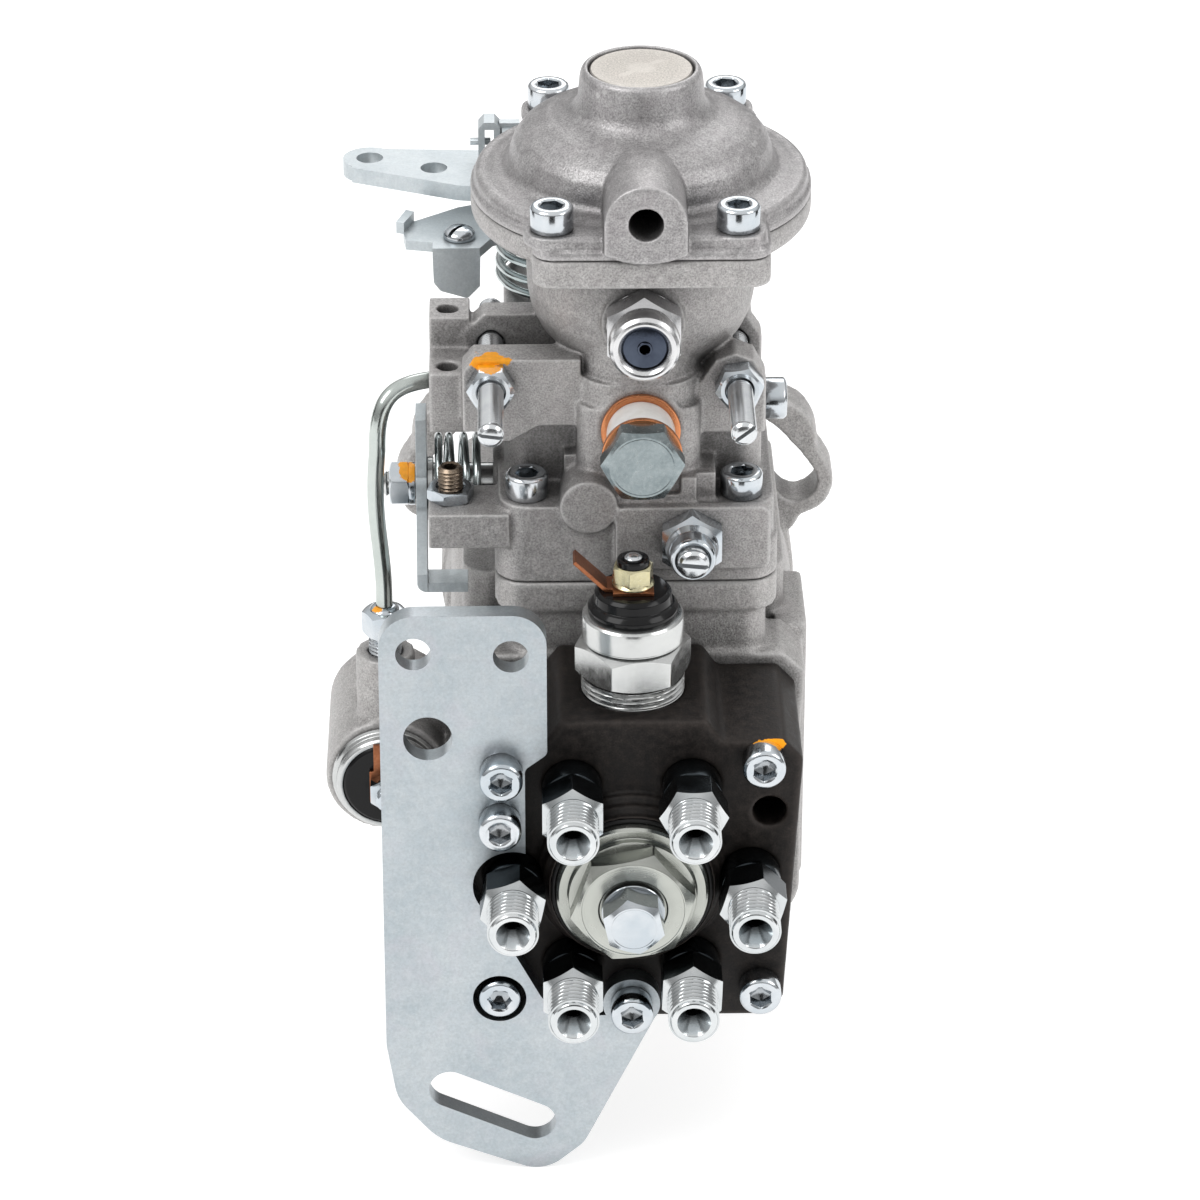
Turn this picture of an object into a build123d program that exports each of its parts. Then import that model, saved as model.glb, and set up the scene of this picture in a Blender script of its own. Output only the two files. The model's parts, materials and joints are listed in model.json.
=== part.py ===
from build123d import *
import math
import os

os.makedirs("parts", exist_ok=True)

# ---------------------------------------------------------------------------
# Rotary (distributor type) diesel injection pump, six outlets.
# Millimetres, +Z up. Origin: centre of the mounting-flange face, on the
# drive-shaft axis. +Y points to the drive end, the hydraulic head faces -Y.
# ---------------------------------------------------------------------------

# driving dimensions
FLANGE_T = 12.0          # mounting flange thickness
PILOT_R = 34.0           # pilot (spigot) radius
PILOT_L = 8.0
EAR_R = 54.0             # radius of the mounting slots
SLOT_W = 11.0            # slot width, M10 studs
EAR_ANGLES = (40.0, 140.0, 270.0)   # from +X towards +Z
SLOT_SWING = 9.0         # half angle of each slot
SIDE_X = 40.5            # half width of the timing cylinder
MAIN_R = 35.0            # main bore
RING_R = 32.0            # roller ring bore
HEAD_Y = -122.0          # joint between housing and head
HEAD_FRONT = -160.0      # front face of the head
COVER_Z = 57.5           # joint between housing and governor cover
COVER_T = 77.5           # screw seats of the governor cover
OUTLET_R = 28.0          # radius of the six outlets
PLUNGER_R = 6.0
SHAFT_R = 12.5
FIT = 0.05               # radial running clearance
M6_HEAD_R = 5.0
M6_HEAD_H = 6.0
PLATE_T = 5.0            # support bracket
BOOST_X, BOOST_Y = 3.6, -86.0
BOOST_JOINT = 143.7      # joint between compensator halves
BOOST_SEAT = 149.0
LEVER_X, LEVER_Y = -12.0, -34.0     # throttle shaft axis
STOP_Y, STOP_Z = -93.0, 69.5        # stop lever shaft axis
GOV_Z = 52.0             # governor shaft height
PIVOT_Y, PIVOT_Z = -96.5, 40.0      # governor lever pivot
TIMER_Y, TIMER_Z = -62.0, -50.0     # timing piston axis

XP, XM = (1, 0, 0), (-1, 0, 0)
YP, YM = (0, 1, 0), (0, -1, 0)
ZP, ZM = (0, 0, 1), (0, 0, -1)
LOW = (Align.CENTER, Align.CENTER, Align.MIN)


def at_y(y):
    """Plane at a given Y whose normal looks to -Y; local x = X, local y = Z."""
    return Plane.XZ.offset(-y)


def at_z(z):
    return Plane.XY.offset(z)


def at_x(x):
    """Plane at a given X whose normal looks to +X; local x = Y, local y = Z."""
    return Plane.YZ.offset(x)


def frame_at(x, y, z, d):
    if d in (ZP, ZM):
        return Plane(origin=(x, y, z), x_dir=(1, 0, 0), z_dir=d)
    if d in (YP, YM):
        return Plane(origin=(x, y, z), x_dir=(1, 0, 0), z_dir=d)
    return Plane(origin=(x, y, z), x_dir=(0, 1, 0), z_dir=d)


def rod(x, y, z, d, r, length, mode=Mode.ADD):
    """A cylinder that starts at a point and runs along d."""
    with Locations(frame_at(x, y, z, d)):
        Cylinder(r, length, align=LOW, mode=mode)


def block(x0, x1, y0, y1, z0, z1, mode=Mode.ADD):
    with Locations(((x0 + x1) / 2, (y0 + y1) / 2, (z0 + z1) / 2)):
        Box(x1 - x0, y1 - y0, z1 - z0, mode=mode)


def turned(profile):
    """A turned piece about local Z from (radius, height) pairs."""
    pts = [p for i, p in enumerate(profile) if math.dist(p, profile[i - 1]) > 1e-6]
    with BuildPart() as t:
        with BuildSketch(Plane.XZ):
            with BuildLine():
                Polyline(*pts, close=True)
            make_face()
        revolve(axis=Axis.Z)
    return t.part


def hex_bar(af, h, top_c=0.0, low_c=0.0, hole=0.0):
    """A hexagon with turned chamfers, optionally with a hole."""
    big = af / math.sqrt(3)
    with BuildPart() as t:
        with BuildSketch(Plane.XY):
            RegularPolygon(af / 2, 6, major_radius=False)
            if hole:
                Circle(hole, mode=Mode.SUBTRACT)
        extrude(amount=h)
        with BuildSketch(Plane.XZ):
            with BuildLine():
                wide = big + 0.05
                pts = [(0, 0), (wide - low_c * 1.7, 0)]
                if low_c:
                    pts.append((wide, low_c))
                if top_c:
                    pts.append((wide, h - top_c))
                Polyline(*pts, (wide - top_c * 1.7, h), (0, h), close=True)
            make_face()
        revolve(axis=Axis.Z, mode=Mode.INTERSECT)
    return t.part


def cap_screw(length, shank=3.0):
    """M6 socket-head cap screw, head upward from the seat at local 0."""
    with BuildPart() as t:
        Cylinder(M6_HEAD_R, M6_HEAD_H, align=LOW)
        with BuildSketch(Plane.XY.offset(M6_HEAD_H)):
            RegularPolygon(2.5, 6, major_radius=False)
        extrude(amount=-3.2, mode=Mode.SUBTRACT)
        chamfer(t.faces().sort_by(Axis.Z)[-1].outer_wire().edges(), 0.6)
        with Locations((0, 0, -length)):
            Cylinder(shank, length, align=LOW)
    return t.part


def thread(r, length, pitch=1.5, depth=0.55, start=0.0):
    """Profile points of a ringed thread from height 'start' upward."""
    pts = []
    n = int(length / pitch)
    p = length / n
    for i in range(n):
        z = start + i * p
        pts += [(r - depth, z), (r, z + 0.30 * p), (r, z + 0.55 * p), (r - depth, z + 0.85 * p)]
    pts.append((r - depth, start + length))
    return pts


def place(part, x, y, z, d):
    return frame_at(x, y, z, d).location * part


def spin(part, angle):
    return Location((0, 0, 0), (0, 0, angle)) * part


SCREW_BOOST = cap_screw(12)
SCREW_20 = cap_screw(20)
SCREW_50 = cap_screw(50)
SCREW_18 = cap_screw(18)
SCREW_12 = cap_screw(10)

# ---------------------------------------------------------------------------
# Pump housing
# ---------------------------------------------------------------------------
with BuildPart() as pump_housing:
    # mounting flange with three slotted ears
    with BuildSketch(at_y(0)):
        Circle(46)
        # two ears reach up left and right, the third hangs below
        for mid, wide, corner in zip(EAR_ANGLES, (19, 22, 19), (13.5, 15.0, 12.0)):
            SlotArc(CenterArc((0, 0), EAR_R, -mid - SLOT_SWING, 2 * SLOT_SWING), wide)
            SlotArc(CenterArc((0, 0), EAR_R - 10, -mid - 12, 24), 18)
            # thick corner of the ear, towards the cover
            tip = 45.0 if mid < 90 else mid - 5 if mid < 180 else mid
            with Locations((EAR_R * math.cos(math.radians(tip)), EAR_R * math.sin(math.radians(tip)))):
                Circle(corner)
    extrude(amount=FLANGE_T)
    rod(0, -2, 0, YM, 45, 24)
    rod(0, 0, 0, YP, PILOT_R, PILOT_L)
    # cam and pump section
    with BuildSketch(at_y(-22)):
        with Locations((0, -10)):
            RectangleRounded(86, 74, 12)
    extrude(amount=86)
    # front flange carrying the head
    with BuildSketch(at_y(-104)):
        with BuildLine():
            Polyline((-42.5, 33), (-37, 38), (37, 38), (42.5, 33), (38.5, -37), (33, -42.5), (-33, -42.5), (-38.5, -37), close=True)
        make_face()
    extrude(amount=18)
    # governor tower
    with BuildSketch(at_z(10)):
        with Locations((-0.5, -62)):
            RectangleRounded(78, 76, 8)
    extrude(amount=39)
    with BuildSketch(at_z(15)):
        with Locations((2.5, -70.5)):
            RectangleRounded(61, 101, 6)
    extrude(amount=COVER_Z - 15)
    with BuildSketch(at_z(49.5)):
        with Locations((2.0, -71)):
            RectangleRounded(67, 102, 7)
    extrude(amount=COVER_Z - 49.5)
    # timing cylinder across the bottom
    rod(-SIDE_X, TIMER_Y, TIMER_Z, XP, 16.5, 2 * SIDE_X)
    block(-SIDE_X, SIDE_X, TIMER_Y - 16.5, TIMER_Y + 16.5, -50, -30)
    # milled seats of the two timing covers
    for x0, x1 in ((SIDE_X, 60), (-60, -SIDE_X)):
        block(x0, x1, TIMER_Y - 16.5, TIMER_Y + 16.5, -70, -34.0, mode=Mode.SUBTRACT)
    # cold-start boss on the left side, with the pipe boss on top
    rod(-58.2, -72, -0.7, YM, 15, 40)
    block(-60, -40, -104, -76, -14, 12)
    rod(-58.3, -104, 0, ZP, 7.2, 30)
    rod(-60, -90, 12, ZP, 6.0, 6)
    # side rib and inlet pad
    block(36, 43.8, -104, -76, -34, 36)
    fillet(pump_housing.edges().filter_by(Axis.Z).filter_by(lambda e: e.center().X > 43.7 and abs(e.center().Z - 1) < 2), 1.8)
    rod(36, -42, 6, XP, 10.0, 8.5)
    # --- inside ---
    rod(0, PILOT_L, 0, YM, 16.0, 13.5, mode=Mode.SUBTRACT)
    rod(0, -4, 0, YM, SHAFT_R + FIT, 24, mode=Mode.SUBTRACT)
    rod(0, -26, 0, YM, MAIN_R, 28, mode=Mode.SUBTRACT)
    rod(0, -54, 0, YM, RING_R + FIT, 20, mode=Mode.SUBTRACT)
    rod(0, -74, 0, YM, MAIN_R, 50, mode=Mode.SUBTRACT)
    block(-24, 27, -108, -31, 36, 60, mode=Mode.SUBTRACT)
    block(-14, 14, -108, -75, 20, 60, mode=Mode.SUBTRACT)
    block(-16, 16, -54, -43, 20, 60, mode=Mode.SUBTRACT)
    block(-14, 14, -70, -43, 34, 60, mode=Mode.SUBTRACT)
    # governor shaft seat in the rear wall, lever pivot bores
    rod(0, -32, GOV_Z, YP, 4.0, 10, mode=Mode.SUBTRACT)
    rod(-27, PIVOT_Y, PIVOT_Z, XP, 2.5 + FIT, 59, mode=Mode.SUBTRACT)
    # timing cylinder bore and the passage of the ring's lever
    rod(-SIDE_X, TIMER_Y, TIMER_Z, XP, 10.5, 2 * SIDE_X, mode=Mode.SUBTRACT)
    block(-13, 13, -67.5, -56.5, -48, -20, mode=Mode.SUBTRACT)
    # solenoid and pipe seats on the cold-start boss
    rod(-58.2, -112, -0.7, YP, 9.0, 22, mode=Mode.SUBTRACT)
    rod(-58.3, -104, 30, ZM, 4.0, 9, mode=Mode.SUBTRACT)
    # fuel inlet, threaded, on the right side
    rod(44.5, -42, 6, XM, 6.0, 9, mode=Mode.SUBTRACT)
    # head screws
    for x, z in ((30.6, 31), (30.6, -31.2), (-31.3, -31.2), (-30.4, 31.1)):
        rod(x, HEAD_Y, z, YP, 3.0, 16, mode=Mode.SUBTRACT)
    # cover screws
    for x, y in ((-23.8, -115), (26.8, -115), (-23.8, -26), (26.8, -26)):
        rod(x, y, COVER_Z, ZM, 3.0, 14, mode=Mode.SUBTRACT)
    # timing cover screws
    for y, z in ((-12, 9.5), (12, -9.5)):
        rod(SIDE_X, TIMER_Y + y, TIMER_Z + z, XM, 2.0, 8, mode=Mode.SUBTRACT)
        rod(-SIDE_X, TIMER_Y + y, TIMER_Z + z, XP, 2.0, 8, mode=Mode.SUBTRACT)
    # slots through the ears
    with BuildSketch(at_y(0)):
        for mid in EAR_ANGLES:
            SlotArc(CenterArc((0, 0), EAR_R, -mid - SLOT_SWING, 2 * SLOT_SWING), SLOT_W)
    extrude(amount=FLANGE_T, mode=Mode.SUBTRACT)
pump_housing.part.label = "pump_housing"
export_step(pump_housing.part, "parts/pump_housing.step")

# ---------------------------------------------------------------------------
# Distributor (hydraulic) head
# ---------------------------------------------------------------------------
OUTLETS = [(OUTLET_R * math.cos(math.radians(a)), OUTLET_R * math.sin(math.radians(a))) for a in range(0, 360, 60)]
with BuildPart() as distributor_head:
    with BuildSketch(at_y(HEAD_Y)):
        with BuildLine():
            Polyline(
                (-40, 31), (-36, 35.5), (-20.5, 35.5), (-16.5, 41), (17.5, 41), (21, 35.5),
                (35.5, 35.5), (40, 30.5), (36.3, -35.5), (31.5, -40), (-26.0, -40), (-30.0, -41.5), (-34.5, -41.5), (-38.3, -37.7),
                close=True,
            )
        make_face()
    extrude(amount=HEAD_Y - HEAD_FRONT)
    fillet(distributor_head.edges().filter_by(Axis.Y), 2.2)
    chamfer(distributor_head.faces().sort_by(Axis.Y)[0].outer_wire().edges(), 0.8)
    rod(0, HEAD_Y, 0, YP, MAIN_R - 0.02, 6)
    # stepped collar round the plug
    add(place(turned([(0, 0), (22.4, 0), (22.4, 1.6), (21.6, 2.2), (21.0, 2.2), (21.0, 4.0), (20.4, 4.6), (19.6, 4.6), (19.6, 7.0), (0, 7.0)]), 0, HEAD_FRONT, 0, YM))
    rod(0, -167, 0, YP, 19.0, 2.2, mode=Mode.SUBTRACT)
    rod(0, -167, 0, YP, 14.0, 13, mode=Mode.SUBTRACT)
    rod(0, -112, 0, YM, PLUNGER_R + FIT, 60, mode=Mode.SUBTRACT)
    # seats of the plunger springs
    for x in (-18, 18):
        rod(x, HEAD_Y + 6, 0, YM, 6.0, 2.5, mode=Mode.SUBTRACT)
    for x, z in OUTLETS:
        rod(x, -167.2, z, YP, 7.3, 7.2, mode=Mode.SUBTRACT)
        rod(x, HEAD_FRONT, z, YP, 6.5, 14, mode=Mode.SUBTRACT)
        rod(x, HEAD_FRONT + 14, z, YP, 1.0, 6, mode=Mode.SUBTRACT)
    for x, z in ((30.6, 31), (30.6, -31.2), (-31.3, -31.2), (-30.4, 31.1)):
        rod(x, HEAD_FRONT, z, YP, 3.0, 60, mode=Mode.SUBTRACT)
    rod(-30.8, HEAD_FRONT, 17.7, YP, 3.0, 14, mode=Mode.SUBTRACT)
    rod(0, HEAD_FRONT, -33.1, YP, 3.0, 14, mode=Mode.SUBTRACT)
    rod(32.3, HEAD_FRONT, 16.6, YP, 3.95, 13, mode=Mode.SUBTRACT)
    # shut-off solenoid seat
    rod(0.6, -142.5, 41, ZM, 12.0, 8, mode=Mode.SUBTRACT)
    rod(0.6, -142.5, 33, ZM, 6.0, 16, mode=Mode.SUBTRACT)
    rod(0.6, -142.5, 17, ZM, 2.0, 6, mode=Mode.SUBTRACT)
distributor_head.part.label = "distributor_head"
export_step(distributor_head.part, "parts/distributor_head.step")

# ---------------------------------------------------------------------------
# Outlets: delivery valve holders
# ---------------------------------------------------------------------------
HOLDER = turned(
    [(0.9, -13.8), (6.5, -13.8), (6.5, 0), (7.05, 0), (7.05, 7.0), (6.0, 7.0), (6.0, 16.2), (5.2, 16.4)]
    + thread(6.0, 9.6, 1.5, 0.55, 16.4)
    + [(5.45, 26.4), (5.2, 27.0), (4.7, 27.0), (1.0, 20.6), (1.0, 19.4), (0, 19.4), (0, 4.0), (0.9, 4.0)]
)
HOLDER_HEX = hex_bar(14.0, 8.6, top_c=1.0, hole=4.0)
HEX_TURN = {60: 0, 0: 14, 120: 30, 180: 18, 240: 30, 300: 28}
with BuildPart() as delivery_valve_holders:
    for i, (x, z) in enumerate(OUTLETS):
        add(place(HOLDER, x, HEAD_FRONT, z, YM))
        add(place(spin(HOLDER_HEX, HEX_TURN[60 * i]), x, HEAD_FRONT - 7.8, z, YM))
delivery_valve_holders.part.label = "delivery_valve_holders"
export_step(delivery_valve_holders.part, "parts/delivery_valve_holders.step")

# ---------------------------------------------------------------------------
# Head plug, seals, bleed bolt
# ---------------------------------------------------------------------------
PLUG_HEX = hex_bar(25.6, 7.4, top_c=1.2, hole=4.0)
with BuildPart() as head_plug:
    add(place(turned([(4.0, -11), (14.0, -11), (14.0, 0), (17.9, 0), (17.9, 3.4), (17.3, 4.0), (14.6, 4.0), (14.4, 7.2), (13.4, 7.2), (13.4, 11.4), (4.0, 11.4)]), 0, -165.1, 0, YM))
    with BuildSketch(at_y(-171.0)):
        Circle(20)
        RegularPolygon(12.9, 6, major_radius=False, mode=Mode.SUBTRACT, rotation=11)
    extrude(amount=8, mode=Mode.SUBTRACT)
    add(place(turned([(4.0, 0), (14.2, 0), (13.6, 0.6), (4.0, 0.6)]), 0, -176.5, 0, YM), mode=Mode.SUBTRACT)
    # turned dome on the front of the hexagon
    add(place(turned([(12.4, 0), (12.4, -0.4), (13.0, -0.9), (13.8, -1.5), (15.6, -3.2), (15.6, 0)]), 0, -176.5, 0, YM), mode=Mode.SUBTRACT)
head_plug.part.label = "head_plug"
export_step(head_plug.part, "parts/head_plug.step")

with BuildPart() as seal_rings:
    # seal ring round the plug flange
    add(place(turned([(17.95, 0), (18.95, 0), (18.95, 1.9), (18.6, 2.3), (18.2, 2.3), (17.95, 1.9)]), 0, -164.8, 0, YM))
    # lip seal of the drive shaft
    add(place(turned([(12.7, 0), (16.0, 0), (16.0, 8), (15.0, 8.4), (13.6, 8.4), (13.6, 3.0), (12.52, 3.0), (12.52, 1.6)]), 0, -4.9, 0, YP))
seal_rings.part.label = "seal_rings"
export_step(seal_rings.part, "parts/seal_rings.step")

with BuildPart() as bleed_bolt:
    add(place(turned([(0, -14), (4.0, -14), (4.0, 0), (7.4, 0), (7.4, 0.8), (6.2, 0.8), (6.2, 1.0), (0, 1.0)]), 0, -176.5, 0, YM))
    add(place(spin(hex_bar(13.0, 7.4, top_c=1.0), 12), 0, -177.2, 0, YM))
bleed_bolt.part.label = "bleed_bolt"
export_step(bleed_bolt.part, "parts/bleed_bolt.step")

# ---------------------------------------------------------------------------
# Rear support bracket, 5 mm sheet
# ---------------------------------------------------------------------------
with BuildPart() as support_bracket:
    with BuildSketch(at_y(HEAD_FRONT)) as plate:
        with BuildLine() as outline:
            Polyline(
                (-58.2, 72), (-19.7, 72), (-19.7, 35.5), (-24.9, 31.5), (-24.9, 0), (-37.2, -1.5),
                (-27.8, -18.5), (-21.6, -30.6), (-17.5, -36.2), (-6.0, -36.2), (0, -34), (6.6, -34.8), (-11.3, -72.5),
                (-21.0, -81), (-46.5, -71.0), (-56.0, -59.5), (-58.4, -44),
                close=True,
            )
        make_face()
        with Locations((0, -33.1)):
            Circle(6.8)
        with Locations((-28, 0)):
            Circle(9.3, mode=Mode.SUBTRACT)
        with Locations((-47.2, 40)):
            Circle(5.7, mode=Mode.SUBTRACT)
        with Locations((-50.2, 62.2), (-27.9, 61.4)):
            Circle(4.1, mode=Mode.SUBTRACT)
        with Locations((-31.3, -31.2)):
            Circle(6.35, mode=Mode.SUBTRACT)
        with Locations((-30.4, 31.1), (-30.8, 17.7), (0, -33.1)):
            Circle(3.15, mode=Mode.SUBTRACT)
        with Locations(Location((-33.25, -61.55, 0), (0, 0, math.degrees(math.atan2(-10.1, 21.9))))):
            SlotCenterToCenter(22.4, 10.0, mode=Mode.SUBTRACT)
    extrude(amount=PLATE_T)
    for x, z, r in ((-58.2, 72, 8.5), (-19.7, 72, 8.0), (-19.7, 35.5, 2.0), (-24.9, 31.5, 2.0), (-21.0, -81, 9.0), (-46.5, -71.0, 14.0), (-56.0, -59.5, 12.0), (-58.4, -44, 12.0), (-11.3, -72.5, 8.0)):
        e = support_bracket.edges().filter_by(Axis.Y).sort_by_distance((x, HEAD_FRONT - PLATE_T / 2, z))[0]
        fillet(e, r)
support_bracket.part.label = "support_bracket"
export_step(support_bracket.part, "parts/support_bracket.step")

# ---------------------------------------------------------------------------
# Screws of the head and the bracket
# ---------------------------------------------------------------------------
with BuildPart() as head_cap_screws:
    for x, z in ((30.6, 31), (30.6, -31.2), (-31.3, -31.2)):
        add(place(SCREW_50, x, HEAD_FRONT, z, YM))
    add(place(SCREW_50, -30.4, HEAD_FRONT - PLATE_T, 31.1, YM))
    for x, z in ((-30.8, 17.7), (0, -33.1)):
        add(place(SCREW_18, x, HEAD_FRONT - PLATE_T, z, YM))
head_cap_screws.part.label = "head_cap_screws"
export_step(head_cap_screws.part, "parts/head_cap_screws.step")

# ---------------------------------------------------------------------------
# Shut-off solenoid on top of the head (and the cold-start solenoid)
# ---------------------------------------------------------------------------
SOL_X, SOL_Y = 0.6, -142.5
with BuildPart() as shutoff_solenoid:
    add(place(turned(
        [(4.55, -7.9), (12.0, -7.9), (12.0, -0.1)]
        + thread(12.0, 4.4, 1.4, 0.6, 0.0)
        + [(11.4, 4.4), (11.4, 13.6), (11.7, 13.8), (11.7, 18.8), (11.3, 19.6), (10.5, 20.0), (4.55, 20.0)]
    ), SOL_X, SOL_Y, 41, ZP))
    add(place(spin(hex_bar(24.0, 9.3, top_c=1.5, low_c=0.8, hole=6.0), 8), SOL_X, SOL_Y, 45.2, ZP))
shutoff_solenoid.part.label = "shutoff_solenoid"
export_step(shutoff_solenoid.part, "parts/shutoff_solenoid.step")

with BuildPart() as solenoid_plunger:
    rod(SOL_X, SOL_Y, 24, ZP, 4.5, 26)
    with BuildSketch(at_z(17.6)):
        with Locations((SOL_X, SOL_Y)):
            Circle(1.4)
    with BuildSketch(at_z(24)):
        with Locations((SOL_X, SOL_Y)):
            Circle(4.5)
    loft()
solenoid_plunger.part.label = "solenoid_plunger"
export_step(solenoid_plunger.part, "parts/solenoid_plunger.step")

KSB_X, KSB_Z = -58.2, -0.7
with BuildPart() as solenoid_insulators:
    add(place(turned([(0, 0), (10.5, 0), (10.5, 1.8), (9.9, 2.6), (9.2, 2.8), (9.0, 5.4), (8.4, 6.1), (3.2, 6.1), (3.2, 2.0), (0, 2.0)]), SOL_X, SOL_Y, 61.0, ZP))
    add(place(turned([(0, 0), (10.7, 0), (10.7, 1.0), (10.0, 1.5), (3.2, 1.5), (3.2, 1.0), (0, 1.0)]), KSB_X, -115.0, KSB_Z, YM))
solenoid_insulators.part.label = "solenoid_insulators"
export_step(solenoid_insulators.part, "parts/solenoid_insulators.step")

with BuildPart() as solenoid_terminals:
    # spade of the shut-off solenoid, bent up to the left
    with BuildSketch(at_z(67.1)):
        with Locations((SOL_X, SOL_Y)):
            Rectangle(9.5, 9.5)
            Circle(3.0, mode=Mode.SUBTRACT)
    extrude(amount=1.0)
    with BuildSketch(Plane.XZ.offset(-(SOL_Y - 2.6))):
        with BuildLine():
            Polyline((SOL_X - 4.6, 67.1), (SOL_X - 6.6, 67.2), (SOL_X - 14.0, 74.6), (SOL_X - 13.4, 75.3), (SOL_X - 6.1, 68.1), (SOL_X - 4.6, 68.1), close=True)
        make_face()
    extrude(amount=-6.3)
    # small tang of the cold-start solenoid
    with BuildSketch(at_y(-116.5)):
        with Locations((KSB_X, KSB_Z)):
            Rectangle(8.5, 8.5)
            Circle(2.6, mode=Mode.SUBTRACT)
    extrude(amount=0.9)
    block(KSB_X - 3.2, KSB_X + 3.2, -117.4, -116.5, KSB_Z + 4.0, KSB_Z + 11.5)
    # holes at the tips of the spades
    rod(KSB_X, -118, KSB_Z + 9.2, YP, 0.9, 3, mode=Mode.SUBTRACT)
solenoid_terminals.part.label = "solenoid_terminals"
export_step(solenoid_terminals.part, "parts/solenoid_terminals.step")

with BuildPart() as solenoid_nuts:
    # stud with flanged nut on the shut-off solenoid
    add(place(turned([(0, 0), (3.0, 0), (3.0, 5.1), (4.9, 5.1), (4.9, 5.7), (4.2, 6.5), (0, 6.5)]), SOL_X, SOL_Y, 63.0, ZP))
    add(place(spin(hex_bar(8.4, 4.0, top_c=0.6), 20), SOL_X, SOL_Y, 69.2, ZP))
    add(place(turned([(0, 0), (3.2, 0), (3.2, 1.2), (2.4, 2.1), (1.2, 2.5), (0, 2.6)]), SOL_X, SOL_Y, 73.2, ZP))
    # stud and nut of the cold-start solenoid
    add(place(turned([(0, 0), (2.6, 0), (2.6, 8.6), (2.2, 9.0), (0, 9.0)]), KSB_X, -116.0, KSB_Z, YM))
    add(place(spin(hex_bar(8.0, 4.2, top_c=0.6, low_c=0.4), 30), KSB_X, -117.4, KSB_Z, YM))
solenoid_nuts.part.label = "solenoid_nuts"
export_step(solenoid_nuts.part, "parts/solenoid_nuts.step")

with BuildPart() as cold_start_solenoid:
    add(place(turned([(0, 0), (9.0, 0), (9.0, 16), (13.6, 16), (13.6, 17.2), (12.4, 17.8), (12.4, 19.6), (11.6, 20.2), (10.75, 20.2), (10.75, 19.0), (0, 19.0)]), KSB_X, -96.0, KSB_Z, YM))
cold_start_solenoid.part.label = "cold_start_solenoid"
export_step(cold_start_solenoid.part, "parts/cold_start_solenoid.step")

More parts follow.
